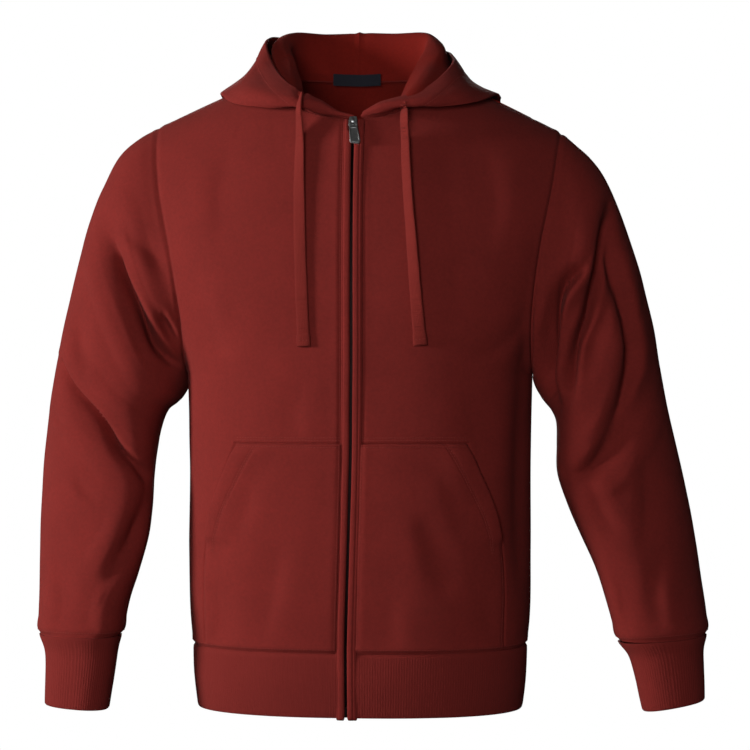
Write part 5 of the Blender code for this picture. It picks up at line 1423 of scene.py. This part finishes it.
def make_tab(metal):
    """The pull tab: a tapered plate with a window for the slider's arch and a plain sunk panel."""
    here, out, _ = slider_frame()
    top, low_x, low_z = TAB_TOP_HALF, TAB_LOW_HALF, -TAB_LENGTH
    cut_x, cut_z = TAB_CHAMFER
    window_x, window_low, window_high = TAB_WINDOW
    panel_x, panel_z = TAB_PANEL
    thick = TAB_THICK / 2
    rim = TAB_RIM
    nick = 0.0004
    # the plate is built as strips round its window, so that the window is a real hole
    outlines = (
        ((-top, window_high), (-top, TAB_BAR - nick), (-top + nick, TAB_BAR),
         (top - nick, TAB_BAR), (top, TAB_BAR - nick), (top, window_high)),
        ((-top, window_low), (top, window_low), TAB_WAIST, (low_x, low_z + cut_z), (low_x - cut_x, low_z),
         (cut_x - low_x, low_z), (-low_x, low_z + cut_z), (-TAB_WAIST[0], TAB_WAIST[1])),
        ((-top, window_low), (-top, window_high), (-window_x, window_high), (-window_x, window_low)),
        ((window_x, window_low), (window_x, window_high), (top, window_high), (top, window_low)),
    )
    parts = [plate(outline, -thick, thick) for outline in outlines]
    front = -thick - 0.0001
    for sign in (-1, 1):
        x0, z0 = sign * (panel_x - rim / 2), panel_z
        x1, z1 = sign * (low_x - rim - 0.0002), low_z + cut_z + 0.0003
        axes = (unit(np.array((z1 - z0, 0.0, x0 - x1))), (0, 1, 0), unit(np.array((x1 - x0, 0.0, z1 - z0))))
        halves = (rim / 2, 0.0003, math.hypot(x1 - x0, z1 - z0) / 2)
        parts.append(box_mesh(((x0 + x1) / 2, front, (z0 + z1) / 2), axes, halves))
    for z, wide in ((panel_z, panel_x), (low_z + cut_z * 0.55, low_x - cut_x)):
        parts.append(box_mesh((0.0, front, z), np.eye(3), (wide, 0.0003, rim / 2)))
    points, faces = joined(parts)
    cosine, sine = math.cos(-TAB_TILT), math.sin(-TAB_TILT)
    hinge = here + out * HINGE_OUT
    points = [hinge + np.array((x - TAB_LEAN * z, y * cosine - z * sine, y * sine + z * cosine))
              for x, y, z in points]
    piece = make_piece("pull_tab_metal", points, faces, metal, "zip_metal", body="tab", sharp=30)
    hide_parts("pull_tab")
    bevel(piece, BEVELS["tab"], 2)


# ---------------------------------------------------------------- cords, eyelets and label
def cord_line(table, samples):
    """Middle line of a drawcord with the panel's level direction at each point."""
    flat = through(np.array(table), np.linspace(0.0, len(table) - 1, samples + 1))
    x, z = flat[:, 0], flat[:, 1]
    y = np.minimum(body_y(x, z, False) - CORD_CLEAR - CORD_THICK / 2, CORD_TOP_Y)
    step = 0.005
    rise = (body_y(x + step, z, False) - body_y(x - step, z, False)) / (2 * step)
    return together(x, y, z), unit(together(1.0, rise, 0.0))


def cord_exit(side, table, data):
    """Where a drawcord leaves the hood: the hood's nearest outer point, with its outward direction."""
    hood, out = data["hood"], data["hood_out"]
    x, z = abs(table[0][0]), table[0][1] + CORD_EXIT_UP
    gap = np.hypot(hood[..., 0] - x, hood[..., 2] - z) + 0.5 * np.maximum(hood[..., 1] + 0.085, 0.0)
    place = np.unravel_index(np.argmin(gap), gap.shape)
    return turned(hood[place], side), turned(out[place], side)


def make_eyelet(label, centre, out, thread, dark):
    """A buttonhole for a drawcord: a ring of satin stitches round a near-black disc, painted shadow in the
    slit.
    """
    up = unit(np.array((0.0, 0.0, 1.0)) - out * out[2])
    side = np.cross(out, up)
    turns = even_round(EYELET_STITCHES * 4)
    section = even_round(8)
    cosine, sine = np.cos(turns)[:, None], np.sin(turns)[:, None]
    ripple = 1.0 + 0.22 * np.sin(turns * EYELET_STITCHES)
    broad, proud = EYELET_THREAD
    radial = side * cosine + up * sine
    ring = side * (EYELET_WIDE * cosine) + up * (EYELET_HIGH * sine)
    rings = (centre + ring[:, None, :] + radial[:, None, :] * (broad * np.cos(section))[None, :, None]
             + out * (0.0002 + proud * np.sin(section)[None, :, None] * ripple[:, None, None]))
    count, around = len(turns), len(section)
    faces = quads(count + 1, around)[:, [0, 3, 2, 1]] % (count * around)
    make_piece("eyelet_" + label, rings.reshape(-1, 3), faces.tolist(), thread, "fleece")
    # a near-black disc just over the hood, painted shadow inside the slit
    slit = centre + ring * 0.95 + out * 0.00025
    make_piece("eyelet_slit_shadow_" + label, slit, [tuple(range(count))], dark, "fleece")


def cord_path(table, hole, hole_out):
    """A cord's middle line from inside its eyelet, with the directions across and out of the cloth."""
    hang, side = cord_line(table, CORD_FINE)
    free = hang[np.linalg.norm(hang - hang[0], axis=1) > CORD_EXIT_RUN]
    inside, lip, bend = (hole + hole_out * reach for reach in CORD_START)
    start = np.array([inside, lip, bend - np.array((0.0, 0.0, CORD_BEND_DROP))])
    knots = np.concatenate([start, free[::12]])
    knots[-1] = free[-1]
    path = through(knots, np.linspace(0, len(knots) - 1, CORD_FINE + 1))
    side = read_points(path[::-1, 2], hang[::-1, 2], side[::-1])[::-1]
    along = unit(np.gradient(path, axis=0))
    side = unit(side - along * np.sum(side * along, axis=1, keepdims=True))
    out = unit(np.cross(along, side))
    return path, along, side, out * np.sign(-out[:, 1:2])


def make_cord(label, table, twists, hole, hole_out, material):
    """A flat knit cord that leaves its eyelet turned partly on edge, with a folded, sewn end."""
    path, along, side, out = cord_path(table, hole, hole_out)
    length = run_lengths(path)
    twist = np.radians(smooth_read(twists, length / length[-1]))
    width_way = side * np.cos(twist)[:, None] + out * np.sin(twist)[:, None]
    thick_way = unit(np.cross(along, width_way))
    thick_way *= np.sign(np.sum(thick_way * out, axis=1, keepdims=True) + 1e-9)
    half = CORD_WIDTH / 2 * (1.0 + 0.03 * noise(path, 0.03, 91))
    half *= CORD_GATHER + (1 - CORD_GATHER) * smoothstep(0.0, 0.020, length)
    clear = np.abs(np.sin(twist)) * half * 0.75 * smoothstep(0.004, 0.020, length)
    centre = path + out * clear[:, None]
    to_end = length[-1] - length
    doubled = smoothstep(CORD_FOLD + 0.0008, CORD_FOLD - 0.0008, to_end)
    sewn_at = CORD_FOLD * 0.55
    thin = CORD_THICK / 2 * (1.0 + 0.45 * doubled - 0.35 * hump(to_end - sewn_at, 0.0012))
    thin *= rounding(to_end / 0.0016, 0.05)
    turns = even_round(CORD_AROUND)
    ribs = 1.0 + CORD_RIB * np.sin(2 * math.pi * length / CORD_RIB_PITCH)
    deep = signed_power(np.sin(turns), 0.55) - 0.10 * np.cos(turns) ** 2
    across = (half * (1.0 + 0.10 * doubled))[:, None] * signed_power(np.cos(turns), 0.75)
    proud = (thin * ribs)[:, None] * deep
    rings = (centre[:, None, :] + width_way[:, None, :] * across[..., None]
             + thick_way[:, None, :] * proud[..., None])
    uv = together(turns / (2 * math.pi) * 2 * CORD_WIDTH, length[:, None])
    piece = make_piece("drawcord_" + label + "_knit", *ring_tube(rings), material, "cord_knit", uv)
    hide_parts("drawcord_" + label)
    here = nearest(to_end, sewn_at)
    face = centre[here] + thick_way[here] * thin[here] * 1.05
    row = face + width_way[here] * np.linspace(-0.9, 0.9, 9)[:, None] * half[here]
    return row, np.repeat(thick_way[here][None], 9, axis=0)


def make_label(woven):
    columns = HOOD_DRIFT + np.linspace(-LABEL_WIDTH / 2, LABEL_WIDTH / 2, 49)
    rows = np.linspace(NECK_BACK_Z - LABEL_HEIGHT / 2, NECK_BACK_Z + LABEL_HEIGHT / 2, 15)
    x, z = np.meshgrid(columns, rows)
    # the label follows the depth of the shifted hood, without a kink at the middle
    from_back = np.hypot(x - HOOD_DRIFT / 2, 0.006) + abs(HOOD_DRIFT) / 2
    y = body_y(from_back, NECK_BACK_Z, True) - CLOTH - LABEL_CLEAR - LABEL_THICK
    edge = np.minimum(LABEL_WIDTH / 2 - np.abs(x - HOOD_DRIFT), LABEL_HEIGHT / 2 - np.abs(z - NECK_BACK_Z))
    front = y - (0.00025 * hump(edge - 0.0013, 0.0006) - 0.0002 * hump(edge, 0.0006))
    inner = together(x, y + LABEL_THICK * 0.9, z)
    piece = shell("neck_label_woven", together(x, front, z), inner, together(x, z), woven, "label_weave")
    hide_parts("neck_label")


# ---------------------------------------------------------------- stitches
def resampled(points, normals):
    """Places a stitch apart along a line, with their outward directions and the line's own."""
    length = run_lengths(points)
    count = max(int(length[-1] / STITCH_PITCH), 2)
    at = (np.arange(count) + 0.5) * length[-1] / count
    ahead = read_points(np.minimum(at + STITCH_PITCH / 4, length[-1]), length, points)
    behind = read_points(np.maximum(at - STITCH_PITCH / 4, 0), length, points)
    return read_points(at, length, points), unit(read_points(at, length, normals)), unit(ahead - behind)


def stitch_parts(points, normals):
    """Small rounded stitches along a line on a surface, as one array of points and faces."""
    place, out, along = resampled(points, normals)
    side = unit(np.cross(out, along))
    # place along a stitch, size and rise of each of its rings
    stations = ((-0.5, 0.25, -0.9), (-0.30, 0.9, 0.2), (0.30, 0.9, 0.2), (0.5, 0.25, -0.9))
    turns = even_round(6)
    rings = []
    for shift, size, rise in stations:
        centre = place + along * (shift * STITCH_LONG) + out * (STITCH_PROUD + rise * STITCH_THICK * 0.5)
        across = (np.cos(turns) * STITCH_THICK * size)[:, None]
        upward = (np.sin(turns) * STITCH_THICK * size)[:, None]
        rings.append(centre[:, None, :] + side[:, None, :] * across + out[:, None, :] * upward)
    rings = np.stack(rings, axis=1)
    base = np.arange(len(place))[:, None, None] * (len(stations) * len(turns))
    caps = np.array([(5, 4, 3, 2, 1, 0), (18, 19, 20, 21, 22, 23)])
    faces = (base + quads(len(stations), len(turns))).reshape(-1, 4).tolist()
    faces += (base + caps).reshape(-1, 6).tolist()
    return rings.reshape(-1, 3), faces


def make_stitches(name, lines, material, slot="fleece"):
    """One piece that holds all the stitches of some lines of (points, normals)."""
    points, faces = joined([stitch_parts(*line) for line in lines])
    return make_piece(name, points, faces, material, slot, sharp=80)


def line_at(points, normals, distance, target):
    """The line on a grid of points where a distance along its rows has one value."""
    place, out = [], []
    for row, facing, gap in zip(points, normals, distance):
        order = np.argsort(gap)
        place.append(read_points(target, gap[order], row[order]))
        out.append(read_points(target, gap[order], facing[order]))
    return np.array(place), unit(np.array(out))


def line_across(points, normals, distance, target):
    """The same for a distance along the columns."""
    return line_at(points.transpose(1, 0, 2), normals.transpose(1, 0, 2), distance.T, target)


def between(line, low=-1.0, high=1.0):
    """The part of a line between two heights."""
    points, normals = line
    keep = (points[:, 2] >= low) & (points[:, 2] <= high)
    return points[keep], normals[keep]


def front_lines(data):
    """Rows on a front: beside the zip above the pocket, over the pocket, above the hem and at the neck."""
    outer, out = data["front_outer"], data["front_out"]
    across, up = lengths_along(outer, 1), lengths_along(outer, 0)
    edge = nearest(data["columns"], POCKET_COLUMNS)
    neck = nearest(data["columns"], NECK_COLUMNS) + 1
    level = nearest(data["rows"], POCKET_TOP_Z)
    pocket, beside, middle = slice(edge + 1), slice(edge, None), slice(neck)
    lines = [between(line_at(outer, out, across, PLACKET_LINE), low=POCKET_TOP_Z)]
    lines += [line_across(outer[:, pocket], out[:, pocket], (up - up[level])[:, pocket], rise)
              for rise in POCKET_TWIN]
    lines.append(line_across(outer[:, beside], out[:, beside], up[:, beside], HEM_LINE))
    lines.append(line_across(outer[:, middle], out[:, middle], (up[-1:] - up)[:, middle], NECK_LINE))
    return lines


def pocket_lines(data):
    """Rows on a pocket: two at the opening, then at its side, top, hem and inner edge."""
    pocket, out = data["pocket"], data["pocket_out"]
    lines = [between(line_at(pocket, out, data["pocket_line"], gap), POCKET_OPEN_LOW, POCKET_TOP_Z - 0.003)
             for gap in POCKET_OPEN_LINES]
    lines.append(between(line_at(pocket, out, data["pocket_side"], POCKET_SIDE_LINE), high=POCKET_OPEN_LOW))
    lines.append(line_across(pocket, out, data["pocket_top"], POCKET_TOP_LINE))
    lines.append(line_across(pocket, out, data["pocket_up"], HEM_LINE))
    lines.append(line_at(pocket, out, lengths_along(pocket, 1), PLACKET_LINE))
    return lines


def back_lines(data):
    back, out = data["back_outer"], data["back_out"]
    up = lengths_along(back, 0)
    neck = slice(nearest(data["columns"], NECK_COLUMNS) + 1)
    return [line_across(back, out, up, HEM_LINE),
            line_across(back[:, neck], out[:, neck], (up[-1:] - up)[:, neck], NECK_LINE)]


def cuff_lines(data):
    line = line_across(data["sleeve"], data["sleeve_out"], data["sleeve_to_end"], CUFF_LINE)
    return [[np.concatenate([part, part[:1]]) for part in line]]


def hood_lines(data):
    """The seam of the cord channel, outside and inside."""
    out, to_edge = data["hood_out"], data["hood_to_edge"]
    return [line_across(data["hood"], out, to_edge, HOOD_CHANNEL),
            line_across(data["hood_inner"], -out, to_edge, HOOD_CHANNEL)]


def make_seams(sides, thread):
    """Rows of topstitching, as long as the garment has them."""
    groups = (("front", front_lines), ("pocket", pocket_lines), ("back", back_lines), ("cuff", cuff_lines),
              ("hood", hood_lines))
    for side, label in SIDES:
        for name, lines_of in groups:
            lines = [[turned(part, side) for part in line] for line in lines_of(sides[side])]
            make_stitches(name + "_stitches_" + label, lines, thread)


# ---------------------------------------------------------------- materials
class Look:
    """A material with its shader, and short ways to add nodes to it."""

    def __init__(self, name, colour=(0.8, 0.8, 0.8), roughness=0.5, metallic=0.0):
        self.material = bpy.data.materials.new(name)
        self.material.use_nodes = True
        self.tree = self.material.node_tree
        self.shader = self.tree.nodes["Principled BSDF"]
        self.fill(self.shader, {"Base Color": (*colour, 1.0), "Roughness": roughness, "Metallic": metallic})

    def fill(self, node, inputs):
        """Gives each named or numbered input its value, or a link from another node's output."""
        for key, value in inputs.items():
            if isinstance(value, bpy.types.NodeSocket):
                self.tree.links.new(value, node.inputs[key])
            else:
                node.inputs[key].default_value = value

    def add(self, kind, inputs, output=0, **settings):
        node = self.tree.nodes.new("ShaderNode" + kind)
        for key, value in settings.items():
            setattr(node, key, value)
        self.fill(node, inputs)
        return node.outputs[output]

    def math(self, operation, *values):
        return self.add("Math", dict(enumerate(values)), operation=operation)

    def place(self):
        return self.add("TexCoord", {}, "Object")

    def split(self, vector):
        """The x, y and z of a vector."""
        x = self.add("SeparateXYZ", {0: vector})
        return x, x.node.outputs[1], x.node.outputs[2]

    def noise(self, place, scale, detail, roughness):
        inputs = {"Vector": place, "Scale": scale, "Detail": detail, "Roughness": roughness}
        return self.add("TexNoise", inputs, "Fac")

    def tone(self, colour, factor, dark, light):
        """The shader's colour, between a darker and a lighter share of one colour."""
        low, high = ((*(channel * share for channel in colour), 1.0) for share in (dark, light))
        mixed = self.add("Mix", {"Factor": factor, "A": low, "B": high}, "Result", data_type="RGBA")
        self.fill(self.shader, {"Base Color": mixed})

    def raised(self, height, strength, distance):
        normal = self.add("Bump", {"Height": height, "Strength": strength, "Distance": distance}, "Normal")
        self.fill(self.shader, {"Normal": normal})

    def surface(self, output):
        self.fill(self.tree.nodes["Material Output"], {"Surface": output})


def knit_height(look, wale, course):
    """Fine stitches: rows of small V shapes, wale apart across the cloth and course apart along it."""
    across, along, _ = look.split(look.add("UVMap", {}, "UV", uv_map="cloth"))
    wave = look.math("SINE", look.math("MULTIPLY", across, 2 * math.pi / wale))
    lean = look.math("MULTIPLY", look.math("ABSOLUTE", wave), 1.4)
    rows = look.math("SINE", look.math("MULTIPLY_ADD", along, 2 * math.pi / course, lean))
    return look.math("ADD", look.math("MULTIPLY", wave, wave), rows)


def cloth_material(name, colour, wale, course, knit, nap, mottle, roughness):
    """Knitted cloth: mottled yarn colour, a fine knit face and a faint nap."""
    look = Look(name, colour, roughness)
    place = look.place()
    broad_scale, fine_scale, nap_scale = CLOTH_LUMPS
    broad = look.noise(place, broad_scale, 4.0, 0.6)
    fine = look.noise(place, fine_scale, 4.0, 0.75)
    blend = look.math("ADD", look.math("MULTIPLY", broad, 0.35), look.math("MULTIPLY", fine, 0.65))
    look.tone(colour, blend, 1 - 2.2 * mottle, 1 + 2.2 * mottle)
    fuzz = look.noise(place, nap_scale, 2.0, 0.6)
    height = look.math("ADD", look.math("MULTIPLY", knit_height(look, wale, course), knit),
                       look.math("MULTIPLY", fuzz, nap))
    look.raised(height, 0.55, 0.0004)
    look.fill(look.shader, {"Sheen Weight": 0.025, "Sheen Roughness": 0.45,
                            "Sheen Tint": (1.0, 0.62, 0.58, 1.0), "Specular IOR Level": 0.18})
    return look.material


def metal_material(name, colour, roughness):
    """Dark plated metal with fine scratches and a little wear."""
    look = Look(name, colour, roughness, 1.0)
    worn = look.noise(look.place(), METAL_WEAR, 4.0, 0.65)
    look.tone(colour, worn, 0.55, 1.7)
    look.fill(look.shader, {"Roughness": look.math("MULTIPLY_ADD", worn, 0.30, roughness - 0.15)})
    look.raised(worn, 0.25, 0.0001)
    return look.material


def woven_material(name, colour, thread):
    """Tight plain weave, as on a label or a zip tape."""
    look = Look(name, colour, 0.75)
    x, _, z = look.split(look.place())
    across, along = (look.math("SINE", look.math("MULTIPLY", way, 2 * math.pi / thread)) for way in (x, z))
    weave = look.math("MULTIPLY", across, along)
    look.tone(colour, look.math("MULTIPLY_ADD", weave, 0.35, 0.5), 0.7, 1.5)
    look.raised(weave, 0.5, 0.0002)
    return look.material


# ---------------------------------------------------------------- stage, light and camera
def stage_object(name, points, faces, material):
    mesh = bpy.data.meshes.new(name)
    mesh.from_pydata(points.reshape(-1, 3).tolist(), [], faces)
    mesh.materials.append(material)
    mesh.shade_smooth()
    thing = bpy.data.objects.new(name, mesh)
    bpy.context.scene.collection.objects.link(thing)
    return thing


def circles(radii, heights):
    """Level circles of points, one row for each radius."""
    turns = even_round(STAGE_AROUND)
    radii = np.asarray(radii)[:, None]
    return together(radii * np.cos(turns), radii * np.sin(turns), np.reshape(heights, (-1, 1)))


def floor_material():
    """A pale floor that melts into the white surround towards its edge."""
    look = Look("pale_floor", (0.80, 0.79, 0.78), 0.9)
    glow = look.add("Emission", {"Strength": 1.0})
    centred = look.add("VectorMath", {0: look.place(), 1: (0.0, 0.0, -FLOOR_Z)}, operation="ADD")
    distance = look.add("VectorMath", {0: centred}, "Value", operation="LENGTH")
    span = {"Value": distance, "From Min": FLOOR_R * 0.25, "From Max": FLOOR_R * 0.97}
    near_edge = look.add("MapRange", span, interpolation_type="SMOOTHSTEP")
    look.surface(look.add("MixShader", {0: near_edge, 1: look.shader.outputs[0], 2: glow}))
    return look.material


def make_stage():
    """A white surround that sheds no light on the cloth, and a pale floor well below the hem."""
    white = Look("studio_white")
    white.surface(white.add("Emission", {"Color": (1.0, 1.0, 1.0, 1.0), "Strength": 1.0}))
    polar = math.pi * np.arange(STAGE_ROWS + 1) / STAGE_ROWS
    points = circles(ROOM * np.sin(polar), ROOM * np.cos(polar))
    faces = quads(STAGE_ROWS + 1, STAGE_AROUND).tolist()
    room = stage_object("studio_surround", points, faces, white.material)
    for flag in ("visible_diffuse", "visible_glossy", "visible_shadow", "visible_transmission"):
        setattr(room, flag, False)
    rings = circles(FLOOR_R * np.arange(1, STAGE_ROWS + 1) / STAGE_ROWS, FLOOR_Z)
    points = np.concatenate([[(0.0, 0.0, FLOOR_Z)], rings.reshape(-1, 3)])
    faces = [(0, 1 + i, 1 + (i + 1) % STAGE_AROUND) for i in range(STAGE_AROUND)]
    faces += (quads(STAGE_ROWS, STAGE_AROUND)[:, [0, 3, 2, 1]] + 1).tolist()
    floor = stage_object("studio_floor", points, faces, floor_material())
    floor.visible_diffuse = False
    floor.visible_glossy = False


def area_light(name, place, size, power, colour):
    light = bpy.data.lights.new(name, "AREA")
    light.shape = "DISK"
    light.size = size
    light.energy = power
    light.color = colour
    lamp = bpy.data.objects.new(name, light)
    lamp.location = place
    lamp.rotation_mode = "QUATERNION"
    lamp.rotation_quaternion = (Vector(place) - Vector(LIGHT_TARGET)).to_track_quat("Z", "Y")
    bpy.context.scene.collection.objects.link(lamp)


def make_light_and_camera():
    for row in LIGHTS:
        area_light(*row)
    world = bpy.data.worlds.new("studio")
    world.use_nodes = True
    sky = world.node_tree.nodes["Background"]
    sky.inputs["Color"].default_value = (1.0, 0.97, 0.95, 1.0)
    sky.inputs["Strength"].default_value = WORLD_LIGHT
    bpy.context.scene.world = world
    camera = bpy.data.cameras.new("camera")
    camera.sensor_width = 36.0
    camera.lens = camera.sensor_width * CAMERA_DISTANCE / FRAME_WIDTH
    camera.clip_end = 60.0
    holder = bpy.data.objects.new("camera", camera)
    turn = math.radians(CAMERA_AZIMUTH)
    back = Vector((math.sin(turn), -math.cos(turn), 0.0))
    holder.location = Vector(CAMERA_TARGET) + back * CAMERA_DISTANCE
    holder.rotation_mode = "QUATERNION"
    holder.rotation_quaternion = back.to_track_quat("Z", "Y")
    bpy.context.scene.collection.objects.link(holder)
    bpy.context.scene.camera = holder
    bpy.context.scene.view_settings.view_transform = "Standard"


# ---------------------------------------------------------------- the garment
def main():
    # the inside material's deeper, more saturated red is partly the brushed back's own colour and partly
    # painted shade and bounced light
    fleece, rib, knit, thread, inside = (cloth_material(*row) for row in CLOTHS)
    tape, navy = (woven_material(*row) for row in WOVEN)
    metal, teeth = (metal_material(*row) for row in METALS)
    slit_shadow = Look(*SLIT_SHADOW).material

    sides = make_body(fleece, inside)
    for side, label in SIDES:
        make_pocket(side, label, sides[side], fleece, inside)
    for side, label in SIDES:
        make_sleeve(side, label, *SLEEVES[side], sides[side], fleece, inside)
    for side, label in SIDES:
        make_cuff(side, label, CUFFS[side], rib)
    make_hem_rib(rib)
    for side, label in SIDES:
        make_hood(side, label, HOODS[side], sides[side], fleece, inside)
    for row in PIPES:
        make_placket(*row, fleece)
    make_zip(teeth, tape)
    make_slider(metal)
    make_tab(metal)
    for side, label in SIDES:
        table, twists = CORDS[side]
        hole = cord_exit(side, table, sides[side])
        make_eyelet(label, *hole, thread, slit_shadow)
        sewn = make_cord(label, table, twists, *hole, knit)
        make_stitches("cord_end_stitches_" + label, [sewn], thread, "cord_knit")
    make_seams(sides, thread)
    make_label(navy)
    make_stage()
    make_light_and_camera()


main()
